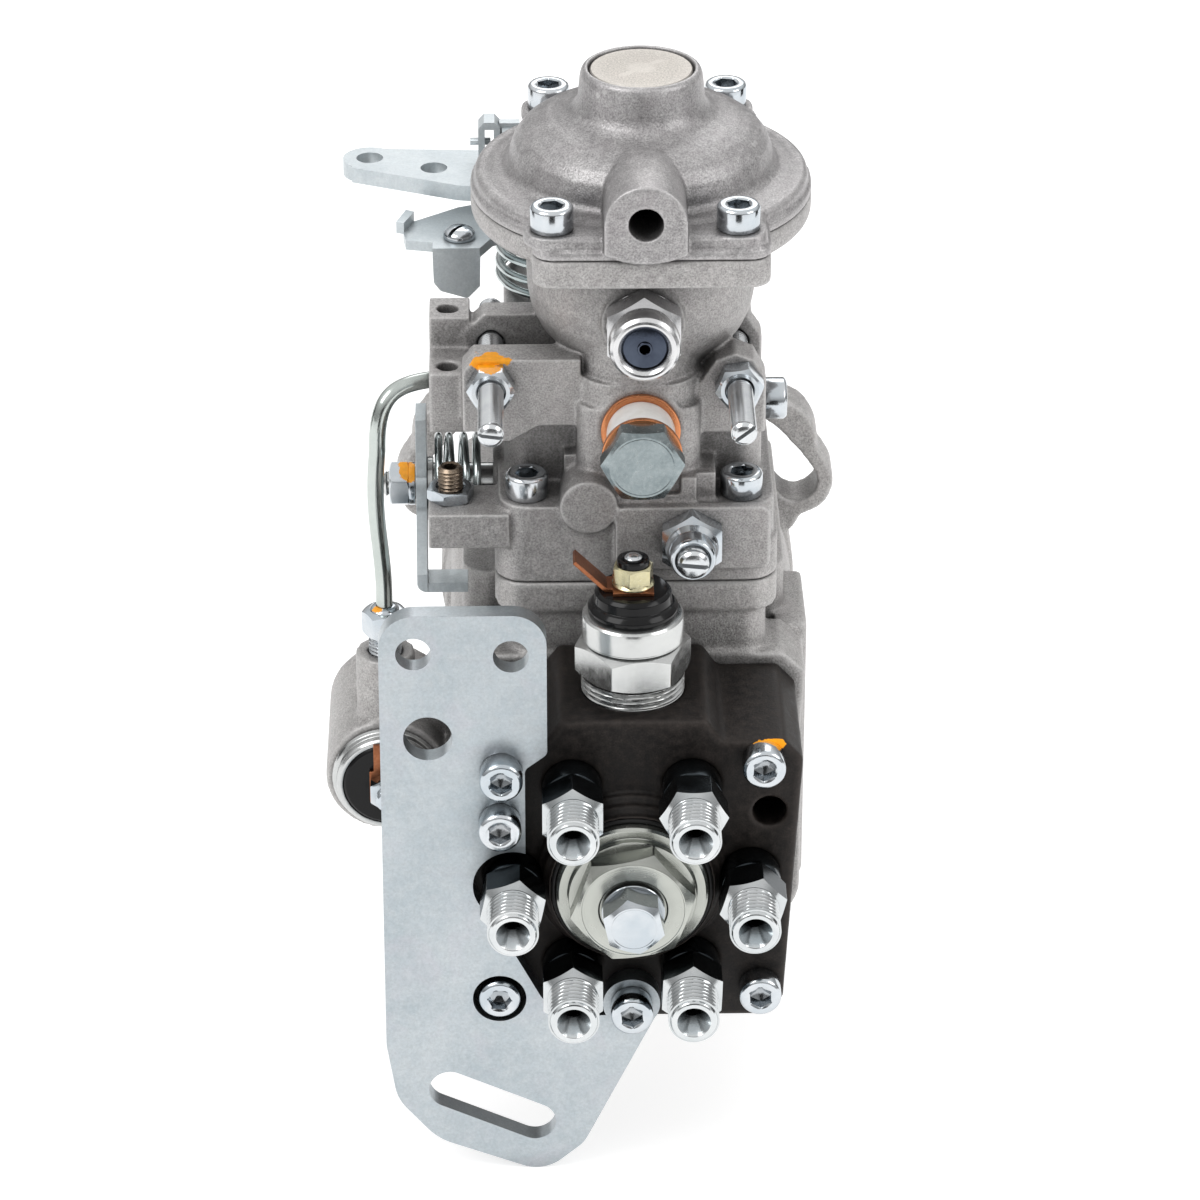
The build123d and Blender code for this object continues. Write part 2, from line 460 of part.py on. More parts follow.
# ---------------------------------------------------------------------------
# Governor cover with the lower half of the boost compensator
# ---------------------------------------------------------------------------
with BuildPart() as governor_cover:
    # joint line, base rim and walls
    with BuildSketch(at_z(COVER_Z)):
        with Locations((2.0, -71)):
            RectangleRounded(65.8, 100.8, 6.4)
    extrude(amount=0.5)
    with BuildSketch(at_z(COVER_Z + 0.5)):
        with Locations((2.0, -71)):
            RectangleRounded(67, 102, 7)
    extrude(amount=9.5)
    with BuildSketch(at_z(COVER_Z + 2)):
        with Locations((2.0, -71)):
            RectangleRounded(65, 102, 7)
    extrude(amount=COVER_T - COVER_Z - 2)
    # upper body
    with BuildSketch(at_z(70)):
        with Locations((1.5, -64.5)):
            RectangleRounded(61, 87, 6)
    extrude(amount=27)
    fillet(governor_cover.faces().sort_by(Axis.Z)[-1].edges(), 3)
    # column under the compensator with the return and vent seats
    with BuildSketch(at_z(72)):
        with Locations((2.6, -89)):
            RectangleRounded(29, 58, 5)
    extrude(amount=29)
    for z, h, r in ((101, 6, 10), (107, 11, 14.4)):
        with BuildSketch(at_z(z)):
            with Locations((2.6, -89)):
                RectangleRounded(29, 58, r)
        extrude(amount=h)
    rod(2.9, -110, 96, YM, 10.5, 8.4)
    # bowl of the compensator, drawn out to the front over the column
    BOWL = [(0, 96), (14.6, 96), (15.2, 100), (17.2, 104.5), (20.6, 108.6), (24.0, 112.6), (26.0, 117.0), (26.9, 122), (27.4, 137.5), (0, 137.5)]
    add(place(turned(BOWL), BOOST_X, BOOST_Y, 0, ZP))
    add(place(turned(BOWL), BOOST_X, BOOST_Y - 5.5, 0, ZP))
    with BuildSketch(at_y(BOOST_Y)):
        with BuildLine():
            Polyline(*[(BOOST_X + r, z) for r, z in BOWL[1:-1]], *[(BOOST_X - r, z) for r, z in BOWL[1:-1]][::-1], close=True)
        make_face()
    extrude(amount=5.5)
    rod(3.4, -108, 123, YM, 9.8, 10.5)
    # lower flange of the compensator
    with BuildSketch(at_z(BOOST_JOINT - 7)):
        with Locations((BOOST_X, BOOST_Y)):
            Circle(40)
        with Locations((5.1, BOOST_Y)):
            RectangleRounded(54.6, 86, 5)
    extrude(amount=6.6)
    # thin relief that shows as the joint line
    with BuildSketch(at_z(BOOST_JOINT - 0.4)):
        with Locations((BOOST_X, BOOST_Y)):
            Circle(39.4)
        with Locations((5.1, BOOST_Y)):
            RectangleRounded(53.4, 84.8, 4.4)
    extrude(amount=0.4)
    fillet(governor_cover.edges().filter_by(GeomType.CIRCLE).filter_by(lambda e: abs(e.center().Z - (BOOST_JOINT - 7)) < 0.01 and e.radius > 39), 3.5)
    # blocks that carry the speed-stop screws, and the webs behind them
    with BuildSketch(at_y(-104)):
        with BuildLine():
            Polyline((-38.7, 108.5), (-36.2, 111.5), (-11, 111.5), (-11, 94.3), (-21, 94.3), (-27.5, 90.4), (-30.5, 90.4), (-31.5, 93), (-38.7, 93), close=True)
        make_face()
    extrude(amount=9)
    block(-38.7, -30.2, -106, -84, 93, 98)
    with BuildSketch(at_y(-84)):
        with BuildLine():
            Polyline((-38.4, 90), (-38.4, 108.5), (-33.6, 113.3), (-4, 113.3), (-4, 90), close=True)
        make_face()
    extrude(amount=7)
    with BuildSketch(at_y(-104)):
        with BuildLine():
            Polyline((16, 92.2), (32.4, 92.2), (32.4, 106), (29.5, 111), (25, 112.8), (20.5, 111), (16.6, 105), close=True)
        make_face()
    extrude(amount=9)
    with BuildSketch(at_y(-84)):
        with BuildLine():
            Polyline((14, 92), (32.4, 92), (32.4, 107), (29, 112), (24, 112), (14, 100), close=True)
        make_face()
    extrude(amount=7)
    # stepped column on the left with its two drilled ledges
    block(-46.6, -37, -90.6, -78.6, 89, 112)
    block(-46.6, -37, -105.2, -90.6, 89, 104.2)
    block(-40, -29, -90, -79, 88, 94)
    # left block with the stop of the stop lever
    block(-47.0, -28, -122, -106, 66.6, 75.6)
    # raised steps on both sides of the column, a small boss right of it
    block(-15, 8, -112.5, -104, 76, 86.5)
    block(8, 20.6, -118.5, -104, 76, 84.5)
    block(12.2, 16.0, -121, -108, 77.4, 84.5)
    # right side wall with the side screw boss
    rod(28, -92, 91, XP, 7.5, 4.4)
    # raised pads on the front
    with BuildSketch(at_y(-121)):
        with Locations((15.2, 69.9)):
            RectangleRounded(36.5, 16.6, 2.5)
    extrude(amount=3.0)
    rod(-9.3, -112, 78.0, YM, 6.8, 11.6)
    block(-6, 12, -121, -112, 76, 80)
    # collar of the throttle shaft
    rod(LEVER_X, LEVER_Y, 92, ZP, 9.5, 7.5)
    # boss of the stop lever shaft
    rod(-31.8, STOP_Y, STOP_Z, XP, 9.0, 4)
    # --- inside ---
    with BuildSketch(at_z(COVER_Z)):
        with Locations((1.5, -69.5)):
            RectangleRounded(51, 77, 5)
    extrude(amount=18.5, mode=Mode.SUBTRACT)
    block(-24, 27, -103.9, -31, 74, 92, mode=Mode.SUBTRACT)
    block(-9, 9, -106.5, -100, 60, 84, mode=Mode.SUBTRACT)
    rod(BOOST_X, BOOST_Y, 119, ZP, 24.0, 60, mode=Mode.SUBTRACT)
    rod(BOOST_X, BOOST_Y, 137.2, ZP, 26.5, 40, mode=Mode.SUBTRACT)
    rod(BOOST_X, BOOST_Y, BOOST_JOINT - 3.0, ZP, 32.0, 10, mode=Mode.SUBTRACT)
    rod(BOOST_X, BOOST_Y, 90, ZP, 4.0 + FIT, 40, mode=Mode.SUBTRACT)
    # return passage and vent passage
    rod(2.9, -118.4, 96, YP, 7.0, 18, mode=Mode.SUBTRACT)
    rod(2.9, -101, 96, ZM, 3.0, 10, mode=Mode.SUBTRACT)
    rod(3.4, -118.5, 123, YP, 6.0, 9, mode=Mode.SUBTRACT)
    # full-load screw bore
    rod(14.8, -124, 70, YP, 3.7, 20, mode=Mode.SUBTRACT)
    # speed stop screw bores
    for x in (-32.0, 26.0):
        rod(x, -113, 105.5, YP, 3.0, 9, mode=Mode.SUBTRACT)
        rod(x, -91, 105.5, YP, 3.2, 7, mode=Mode.SUBTRACT)
    # stop screw bore, ledge holes
    rod(-41.8, -112.2, 66, ZP, 3.0, 12, mode=Mode.SUBTRACT)
    rod(-42.2, -85.0, 112, ZM, 2.5, 9, mode=Mode.SUBTRACT)
    rod(-42.2, -100.2, 104.2, ZM, 2.5, 9, mode=Mode.SUBTRACT)
    # pipe bore in the column
    rod(-46.6, -97.0, 99.0, XP, 2.0, 1.6, mode=Mode.SUBTRACT)
    # side screws
    rod(32.4, -92, 91, XM, 3.0, 10, mode=Mode.SUBTRACT)
    # throttle shaft and stop lever shaft bores
    rod(LEVER_X, LEVER_Y, 88, ZP, 5.0 + FIT, 20, mode=Mode.SUBTRACT)
    rod(LEVER_X, LEVER_Y, 76, ZP, 8.0, 12, mode=Mode.SUBTRACT)
    rod(-34, STOP_Y, STOP_Z, XP, 5.0 + FIT, 16, mode=Mode.SUBTRACT)
    # screws: cover to housing, counterbored, and compensator screws
    for x, y in ((-23.8, -115), (26.8, -115), (-23.8, -26), (26.8, -26)):
        rod(x, y, 50, ZP, 3.0, 40, mode=Mode.SUBTRACT)
        rod(x, y, COVER_T, ZP, 5.9, 9.5, mode=Mode.SUBTRACT)
    for x in (-17.7, 24.9):
        for y in (-122, -50):
            rod(x, y, 130, ZP, 3.0, 20, mode=Mode.SUBTRACT)
    # spot faces for the locknuts
    rod(-32.0, -113, 105.5, YM, 7.2, 3, mode=Mode.SUBTRACT)
governor_cover.part.label = "governor_cover"
export_step(governor_cover.part, "parts/governor_cover.step")

# ---------------------------------------------------------------------------
# Compensator: upper cover, cap disc, diaphragm, pin, spring
# ---------------------------------------------------------------------------
with BuildPart() as boost_cover:
    for z, top, grow in ((BOOST_JOINT, 2.2, 0.0), (BOOST_JOINT + 2.2, 3.1, -0.9)):
        with BuildSketch(at_z(z)):
            with Locations((BOOST_X, BOOST_Y)):
                Circle(40 + grow)
            with Locations((5.1, BOOST_Y)):
                RectangleRounded(54.6 + 2 * grow, 86 + 2 * grow, 5 + grow)
        extrude(amount=top)
    fillet(boost_cover.faces().sort_by(Axis.Z)[-1].edges(), 1.6)
    add(place(turned([
        (0, 146), (36.4, 146), (36.4, 149.0), (34.6, 149.5), (32.2, 149.9), (31.2, 151.0), (30.7, 153.4), (29.8, 156.0), (28.0, 158.4), (25.6, 160.1),
        (22.6, 161.4), (19.6, 162.2), (17.6, 162.9), (15.9, 164.2), (14.9, 166.2), (14.3, 172.2), (13.8, 173.4), (12.8, 174.0), (0, 174.0),
    ]), BOOST_X, BOOST_Y, 0, ZP))
    # arched port boss on the front
    with BuildSketch(at_y(-108)):
        with BuildLine():
            Line((BOOST_X - 9.5, 146.0), (BOOST_X - 9.5, 153.4))
            ThreePointArc((BOOST_X - 9.5, 153.4), (BOOST_X, 162.9), (BOOST_X + 9.5, 153.4))
            Line((BOOST_X + 9.5, 153.4), (BOOST_X + 9.5, 146.0))
            ThreePointArc((BOOST_X + 9.5, 146.0), (BOOST_X, BOOST_JOINT), (BOOST_X - 9.5, 146.0))
        make_face()
    extrude(amount=23.2)
    # pads under the screw heads
    for x in (-17.7, 24.9):
        for y in (-122, -50):
            rod(x, y, 146, ZP, 6.6, 3.0)
    # recess of the cap disc and the air chamber
    rod(BOOST_X, BOOST_Y, 172.2, ZP, 12.5, 3, mode=Mode.SUBTRACT)
    rod(BOOST_X, BOOST_Y, 160, ZP, 9.0, 14, mode=Mode.SUBTRACT)
    add(place(turned([(0, 143.0), (32.0, 143.0), (32.0, 146.0), (26.5, 151.5), (22.5, 155.5), (0, 155.5)]), BOOST_X, BOOST_Y, 0, ZP), mode=Mode.SUBTRACT)
    rod(BOOST_X, BOOST_Y, 150, ZP, 9.0, 12, mode=Mode.SUBTRACT)
    rod(BOOST_X, -131.2, 153.5, YP, 3.95, 16, mode=Mode.SUBTRACT)
    rod(BOOST_X, -118, 151.0, YP, 1.8, 14, mode=Mode.SUBTRACT)
    for x in (-17.7, 24.9):
        for y in (-122, -50):
            rod(x, y, 140, ZP, 3.0, 20, mode=Mode.SUBTRACT)
            rod(x, y, BOOST_SEAT, ZP, 5.6, 8, mode=Mode.SUBTRACT)
boost_cover.part.label = "boost_cover"
export_step(boost_cover.part, "parts/boost_cover.step")

with BuildPart() as boost_cap_plug:
    add(place(turned([(0, 0), (12.0, 0), (12.0, 0.9), (11.7, 1.2), (0, 1.35)]), BOOST_X, BOOST_Y, 172.2, ZP))
    rod(BOOST_X, BOOST_Y, 172.2, ZM, 9.0, 6)
boost_cap_plug.part.label = "boost_cap_plug"
export_step(boost_cap_plug.part, "parts/boost_cap_plug.step")

with BuildPart() as boost_diaphragm:
    # convoluted rubber disc, drawn in its upper (no boost) position
    add(place(turned([(4.0, 0), (22, 0), (24.2, -1.2), (26.0, -0.6), (26.0, 0.9), (24.2, 0.4), (22.0, 1.5), (4.0, 1.5)]), BOOST_X, BOOST_Y, 145.5, ZP))
boost_diaphragm.part.label = "boost_diaphragm"
export_step(boost_diaphragm.part, "parts/boost_diaphragm.step")

with BuildPart() as boost_pin:
    # pin with clamping plates above and below the diaphragm
    add(place(turned([(0, 95), (3.2, 95), (4.0, 96), (4.0, 112), (3.3, 118), (4.0, 124), (4.0, 143.7), (20, 143.7), (20, 145.5), (4.0, 145.5), (4.0, 147.0), (14, 147.0), (14, 148.6), (5.0, 148.6), (5.0, 152.4), (0, 152.4)]), BOOST_X, BOOST_Y, 0, ZP))
boost_pin.part.label = "boost_pin"
export_step(boost_pin.part, "parts/boost_pin.step")


def coil(radius, wire, height, turns, plane):
    """A coil spring about local Z of a plane, from its origin upward."""
    pitch = height / turns
    with BuildPart() as c:
        with BuildLine() as path:
            Helix(pitch, height, radius)
        with BuildSketch(Plane(origin=path.line @ 0, z_dir=path.line % 0)):
            Circle(wire / 2)
        sweep()
    return plane.location * c.part


with BuildPart() as boost_spring:
    add(coil(13.0, 2.0, 21.6, 5, frame_at(BOOST_X, BOOST_Y, 120.2, ZP)))
boost_spring.part.label = "boost_spring"
export_step(boost_spring.part, "parts/boost_spring.step")

with BuildPart() as cover_cap_screws:
    for x in (-17.7, 24.9):
        for y in (-122, -50):
            add(place(SCREW_BOOST, x, y, BOOST_SEAT, ZP))
    for x, y in ((-23.8, -115), (26.8, -115), (-23.8, -26), (26.8, -26)):
        add(place(cap_screw(32), x, y, COVER_T, ZP))
cover_cap_screws.part.label = "cover_cap_screws"
export_step(cover_cap_screws.part, "parts/cover_cap_screws.step")

# ---------------------------------------------------------------------------
# Fuel return bolt, washers, spacer, vent fitting
# ---------------------------------------------------------------------------
with BuildPart() as return_bolt:
    add(place(turned([(2.5, -14), (7.0, -14), (7.0, 16.0), (2.5, 16.0)]), 2.9, -118.4, 96, YM))
    rod(2.9, -134.4, 96, YM, 6.0, 2)
    add(place(hex_bar(17.0, 6.0, top_c=1.0), 2.9, -132.4, 96, YM))
return_bolt.part.label = "return_bolt"
export_step(return_bolt.part, "parts/return_bolt.step")

with BuildPart() as copper_washers:
    for y in (-118.4, -131.0):
        add(place(turned([(7.05, 0), (9.35, 0), (9.35, 1.4), (7.05, 1.4)]), 2.9, y, 96, YM))
copper_washers.part.label = "copper_washers"
export_step(copper_washers.part, "parts/copper_washers.step")

with BuildPart() as nylon_spacer:
    add(place(turned([(7.05, 0), (7.7, 0), (7.7, 11.2), (7.05, 11.2)]), 2.9, -119.8, 96, YM))
nylon_spacer.part.label = "nylon_spacer"
export_step(nylon_spacer.part, "parts/nylon_spacer.step")

with BuildPart() as vent_fitting:
    add(place(turned([(5.4, 5.5), (4.0, 5.5), (4.0, -8), (6.0, -8), (6.0, 0), (7.0, 0), (9.6, 0.6), (9.6, 1.2), (8.3, 8.4), (8.3, 10.0), (8.25, 12.8), (7.6, 14.4), (6.6, 14.4), (5.4, 13.6)]), 3.4, -118.5, 123, YM))
    add(place(spin(hex_bar(17.0, 7.4, top_c=1.2, low_c=0.6, hole=7.0), 30), 3.4, -119.4, 123, YM))
vent_fitting.part.label = "vent_fitting"
export_step(vent_fitting.part, "parts/vent_fitting.step")

with BuildPart() as vent_insert:
    add(place(turned([(1.25, 5.6), (5.35, 5.6), (5.35, 13.0), (1.7, 13.0), (1.7, 13.5), (1.25, 13.5)]), 3.4, -118.5, 123, YM))
vent_insert.part.label = "vent_insert"
export_step(vent_insert.part, "parts/vent_insert.step")

# ---------------------------------------------------------------------------
# Adjusting screws and their locknuts
# ---------------------------------------------------------------------------
STOP_SCREW_X, STOP_SCREW_Y = -41.8, -112.2
with BuildPart() as adjusting_screws:
    # maximum-speed screw (left) and idle screw (right), slotted
    for x in (-32.0, 26.0):
        back = -70.8 if x < 0 else -61.4
        add(place(turned([(0, 0), (2.3, 0), (3.0, 0.8), (3.0, 141.0 + back - 1.0), (2.2, 141.0 + back), (0, 141.0 + back)]), x, back, 105.5, YM))
        block(x - 4, x + 4, -141.2, -140.0, 105.0, 106.0, mode=Mode.SUBTRACT)
    # full-load screw
    add(place(turned([(0, 0), (3.7, 0), (3.7, 32.4), (3.2, 33.0), (0, 33.0)]), 14.8, -105, 70, YM))
    block(10, 20, -138.4, -136.8, 69.4, 70.6, mode=Mode.SUBTRACT)
    # set screw that limits the stop lever, hexagon socket
    add(place(turned([(0, 0), (2.4, 0), (3.0, 0.8), (3.0, 18.2), (2.5, 18.8), (0, 18.8)]), STOP_SCREW_X, STOP_SCREW_Y, 65.0, ZP))
    with BuildSketch(at_z(83.9)):
        with Locations((STOP_SCREW_X, STOP_SCREW_Y)):
            RegularPolygon(1.5, 6, major_radius=False)
    extrude(amount=-4, mode=Mode.SUBTRACT)
adjusting_screws.part.label = "adjusting_screws"
export_step(adjusting_screws.part, "parts/adjusting_screws.step")

with BuildPart() as adjusting_locknuts:
    add(place(spin(hex_bar(10.0, 5.0, top_c=0.8, hole=3.0), 0), -32.0, -113.0, 105.5, YM))
    add(place(spin(hex_bar(10.0, 5.0, top_c=0.8, hole=3.0), 8), 26.0, -113.0, 105.5, YM))
    add(place(spin(hex_bar(10.0, 3.0, top_c=0.6, low_c=0.4, hole=3.0), 14), STOP_SCREW_X, STOP_SCREW_Y, 75.6, ZP))
    add(place(spin(hex_bar(14.0, 5.0, top_c=0.9, hole=3.7), 30), 14.8, -124.0, 70, YM))
    add(place(turned([(3.7, 0), (6.2, 0), (6.2, 5.0), (5.4, 5.8), (5.4, 10.6), (5.0, 11.2), (4.2, 11.2), (3.7, 10.8)]), 14.8, -124.0, 70, YM))
adjusting_locknuts.part.label = "adjusting_locknuts"
export_step(adjusting_locknuts.part, "parts/adjusting_locknuts.step")

with BuildPart() as side_screws:
    add(place(SCREW_12, 32.4, -92, 91, XP))
side_screws.part.label = "side_screws"
export_step(side_screws.part, "parts/side_screws.step")

# ---------------------------------------------------------------------------
# Stop lever on the left side
# ---------------------------------------------------------------------------
LEVER_IN = -47.6          # inner face of the stop lever plate
with BuildPart() as stop_lever:
    with BuildSketch(at_x(LEVER_IN)):
        with BuildLine():
            Polyline(
                (STOP_Y - 6.5, STOP_Z + 3), (STOP_Y - 4.5, STOP_Z + 19), (STOP_Y + 5.0, STOP_Z + 19), (STOP_Y + 7.5, STOP_Z + 3),
                (STOP_Y + 7.0, STOP_Z - 4), (STOP_Y - 3.0, STOP_Z - 12), (-101.0, 48.0), (-108.5, 48.0), (-109.0, 53.0), (STOP_Y - 8.0, STOP_Z - 4),
                close=True,
            )
        make_face()
        with Locations((STOP_Y, STOP_Z)):
            Circle(8.0)
    extrude(amount=-2.6)
    # tab bent inward under the left block
    block(-50.2, -38.0, -108.5, -101.5, 48.0, 50.6)
    fillet(stop_lever.edges().filter_by(Axis.Y).sort_by_distance((-50.2, -105, 48.0))[0], 2.4)
    rod(-52, STOP_Y, STOP_Z, XP, 4.0, 10, mode=Mode.SUBTRACT)
    rod(-52, STOP_Y, STOP_Z + 14.5, XP, 1.6, 10, mode=Mode.SUBTRACT)
stop_lever.part.label = "stop_lever"
export_step(stop_lever.part, "parts/stop_lever.step")

with BuildPart() as stop_lever_shaft:
    add(place(turned([(0, -10.6), (2.4, -10.6), (3.0, -10.0), (3.0, -2.9), (4.0, -2.9), (4.0, 0), (6.5, 0), (6.5, 1.5), (5.0, 1.5), (5.0, 38.0), (0, 38.0)]), LEVER_IN, STOP_Y, STOP_Z, XP))
    # eccentric pin that pulls the governor lever
    rod(-9.8, STOP_Y, STOP_Z + 2.2, XP, 1.6, 4)
stop_lever_shaft.part.label = "stop_lever_shaft"
export_step(stop_lever_shaft.part, "parts/stop_lever_shaft.step")

with BuildPart() as stop_lever_nut:
    add(place(turned([(3.0, 0), (5.2, 0), (5.2, 1.6), (3.0, 1.6)]), -50.5, STOP_Y, STOP_Z, XM))
    add(place(spin(hex_bar(10.0, 4.6, top_c=0.7, low_c=0.4, hole=3.0), 30), -52.1, STOP_Y, STOP_Z, XM))
stop_lever_nut.part.label = "stop_lever_nut"
export_step(stop_lever_nut.part, "parts/stop_lever_nut.step")

with BuildPart() as stop_lever_spring:
    add(coil(11.4, 1.9, 9.6, 3.5, frame_at(-45.0, STOP_Y, STOP_Z, XP)))
stop_lever_spring.part.label = "stop_lever_spring"
export_step(stop_lever_spring.part, "parts/stop_lever_spring.step")

# ---------------------------------------------------------------------------
# Throttle lever group behind the compensator
# ---------------------------------------------------------------------------
with BuildPart() as throttle_lever:
    with BuildSketch(at_z(121)):
        with BuildLine():
            Polyline((-64.5, -18.6), (-24, -21), (-2.5, -26), (-2.5, -42), (-16, -46.4), (-40, -42.0), (-66.0, -30.6), close=True)
        make_face()
        with Locations((LEVER_X, LEVER_Y)):
            Circle(12.5)
        with Locations((-61.7, -24.6)):
            Circle(6.6)
        with Locations((-61.7, -24.6), (-45.8, -31.1)):
            Circle(3.3, mode=Mode.SUBTRACT)
        with Locations((LEVER_X, LEVER_Y)):
            Circle(4.0, mode=Mode.SUBTRACT)
    extrude(amount=4)
    # folded clip standing on the lever
    with BuildSketch(at_y(-27.0)):
        with BuildLine():
            Polyline((-34.8, 124.5), (-34.8, 136.0), (-33.4, 137.6), (-30.8, 137.6), (-29.4, 136.0), (-29.4, 124.5), close=True)
        make_face()
        with Locations((-32.1, 130.0)):
            Rectangle(2.2, 11.4, mode=Mode.SUBTRACT)
    extrude(amount=6.0)
    block(-29.6, -24.6, -31.4, -28.8, 124.5, 136.8)
    rod(-29.0, -31.4, 134.0, XP, 1.7, 12)
    rod(-36.8, -30.0, 131.5, XP, 0.9, 5)
throttle_lever.part.label = "throttle_lever"
export_step(throttle_lever.part, "parts/throttle_lever.step")

with BuildPart() as throttle_shaft:
    add(place(turned([(0, 84), (5.0, 84), (5.0, 116.7), (6.6, 116.7), (6.6, 121.0), (4.0, 121.0), (4.0, 126), (3.0, 126.2), (3.0, 132.6), (2.5, 133), (0, 133)]), LEVER_X, LEVER_Y, 0, ZP))
    # eccentric arm inside the governor chamber
    with BuildSketch(at_z(84)):
        with Locations((LEVER_X, LEVER_Y)):
            Circle(6.5)
        with BuildLine():
            Polyline((LEVER_X - 2, LEVER_Y - 6), (LEVER_X + 10, LEVER_Y - 14), (LEVER_X + 14, LEVER_Y - 10), (LEVER_X + 5, LEVER_Y + 3), close=True)
        make_face()
    extrude(amount=-3.5)
    rod(LEVER_X + 12, LEVER_Y - 10.0, 81, ZM, 2.0, 7)
throttle_shaft.part.label = "throttle_shaft"
export_step(throttle_shaft.part, "parts/throttle_shaft.step")

with BuildPart() as throttle_stop_plate:
    with BuildSketch(at_z(114)):
        with Locations((LEVER_X, LEVER_Y)):
            Circle(11)
        with BuildLine():
            Polyline((LEVER_X, LEVER_Y + 10), (-40, -36.0), (-51.0, -44.5), (-53.2, -50.5), (-52.5, -55.5), (-46.0, -57.0), (-46.0, -60.5), (-34.6, -60.5), (-31.5, -54.0), (LEVER_X - 3, LEVER_Y - 9), close=True)
        make_face()
        with BuildLine():
            Polyline((LEVER_X - 2, LEVER_Y - 8), (21.8, -59.8), (30.2, -58.6), (30.2, -54.0), (LEVER_X + 6, LEVER_Y + 3), close=True)
        make_face()
        with Locations((LEVER_X, LEVER_Y)):
            Circle(5.0, mode=Mode.SUBTRACT)
        with Locations((-39.5, -54.0)):
            Circle(2.0, mode=Mode.SUBTRACT)
    extrude(amount=2.5)
    # stop tabs bent downward, and the curled ear
    with BuildSketch(at_y(-58.1)):
        with BuildLine():
            Polyline((-46.0, 114.6), (-45.8, 107.4), (-44.2, 105.2), (-37.6, 103.2), (-34.6, 106.4), (-34.4, 114.6), close=True)
        make_face()
    extrude(amount=2.4)
    for x, z, r in ((-45.8, 107.4, 1.6), (-44.2, 105.2, 1.6), (-37.6, 103.2, 1.0)):
        e = throttle_stop_plate.edges().filter_by(Axis.Y).sort_by_distance((x, -59.3, z))[0]
        fillet(e, r)
    block(22.0, 30.2, -60.9, -58.6, 103.0, 116.5)
    with BuildSketch(at_z(116)):
        with BuildLine():
            Polyline((-50.6, -44.0), (-53.0, -50.8), (-54.9, -50.0), (-52.6, -42.8), close=True)
        make_face()
    extrude(amount=3.0)
throttle_stop_plate.part.label = "throttle_stop_plate"
export_step(throttle_stop_plate.part, "parts/throttle_stop_plate.step")

with BuildPart() as throttle_fasteners:
    # slotted screw in the stop plate
    add(place(turned([(0, -3.5), (2.0, -3.5), (2.0, 0), (3.9, 0), (3.9, 1.4), (3.2, 2.4), (0, 2.6)]), -39.5, -54.0, 116.5, ZP))
    with Locations(Location((-39.5, -54.0, 119.0), (0, 0, 50))):
        Box(9, 1.0, 2.4, mode=Mode.SUBTRACT)
    # nut on the throttle shaft
    add(place(spin(hex_bar(10.0, 5.0, top_c=0.7, low_c=0.4, hole=3.0), 12), LEVER_X, LEVER_Y, 127.0, ZP))
    add(place(turned([(4.05, 0), (6.2, 0), (6.2, 1.0), (3.0, 2.0), (3.0, 1.2), (4.05, 1.2)]), LEVER_X, LEVER_Y, 125.0, ZP))
throttle_fasteners.part.label = "throttle_fasteners"
export_step(throttle_fasteners.part, "parts/throttle_fasteners.step")

with BuildPart() as throttle_spring:
    add(coil(18.0, 2.1, 14.0, 3.75, frame_at(LEVER_X, LEVER_Y, 98.4, ZP)))
throttle_spring.part.label = "throttle_spring"
export_step(throttle_spring.part, "parts/throttle_spring.step")

# ---------------------------------------------------------------------------
# Steel pipe from the cover to the cold-start boss
# ---------------------------------------------------------------------------
with BuildPart() as return_pipe:
    with BuildLine() as route:
        l1 = Line((-58.3, -104, 27), (-58.3, -104, 84))
        l2 = Spline((-58.3, -104, 84), (-55.6, -102.2, 95.0), (-46.4, -97.0, 99.0), tangents=((0, 0, 1), (1, 0.0, 0.0)))
        l3 = Line((-46.4, -97.0, 99.0), (-45.0, -97.0, 99.0))
    with BuildSketch(Plane(origin=(-58.3, -104, 27), z_dir=(0, 0, 1))):
        Circle(2.0)
    sweep()
return_pipe.part.label = "return_pipe"
export_step(return_pipe.part, "parts/return_pipe.step")

with BuildPart() as pipe_union_nut:
    add(place(turned([(2.0, -7.5), (4.0, -7.5), (4.0, 3.0), (3.4, 3.0), (3.4, 5.0), (4.4, 5.0), (4.4, 11.4), (2.0, 12.2)]), -58.3, -104, 30, ZP))
    add(place(spin(hex_bar(9.6, 6.2, top_c=0.7, low_c=0.5, hole=3.6), 0), -58.3, -104, 35.2, ZP))
pipe_union_nut.part.label = "pipe_union_nut"
export_step(pipe_union_nut.part, "parts/pipe_union_nut.step")

# ---------------------------------------------------------------------------
# Drive shaft group
# ---------------------------------------------------------------------------
with BuildPart() as drive_shaft:
    add(place(turned([
        (0, 56), (6.4, 56), (7.0, 55.4), (7.0, 40), (10.0, 38), (12.5, 13), (12.5, -26), (10.0, -26.2),
        (10.0, -51.6), (14.0, -51.6), (14.0, -56), (0, -56),
    ][::-1]), 0, 0, 0, YP))
    # keyway for the woodruff key
    with BuildSketch(at_x(-2.5)):
        with Locations((25.5, 12.2)):
            Circle(6.5)
    extrude(amount=5.0, mode=Mode.SUBTRACT)
    # driving claws
    for x0, x1 in ((-13.5, -6), (6, 13.5)):
        block(x0, x1, -70, -55, -5.2, 5.2)
drive_shaft.part.label = "drive_shaft"
export_step(drive_shaft.part, "parts/drive_shaft.step")

with BuildPart() as shaft_key:
    with BuildSketch(at_x(-2.5)):
        with Locations((25.5, 12.2)):
            Circle(6.5)
            Rectangle(20, 20, align=(Align.CENTER, Align.MIN), mode=Mode.SUBTRACT)
        with Locations((25.5, 12.2)):
            Rectangle(13.0, 2.4, align=(Align.CENTER, Align.MIN))
    extrude(amount=5.0)
shaft_key.part.label = "shaft_key"
export_step(shaft_key.part, "parts/shaft_key.step")

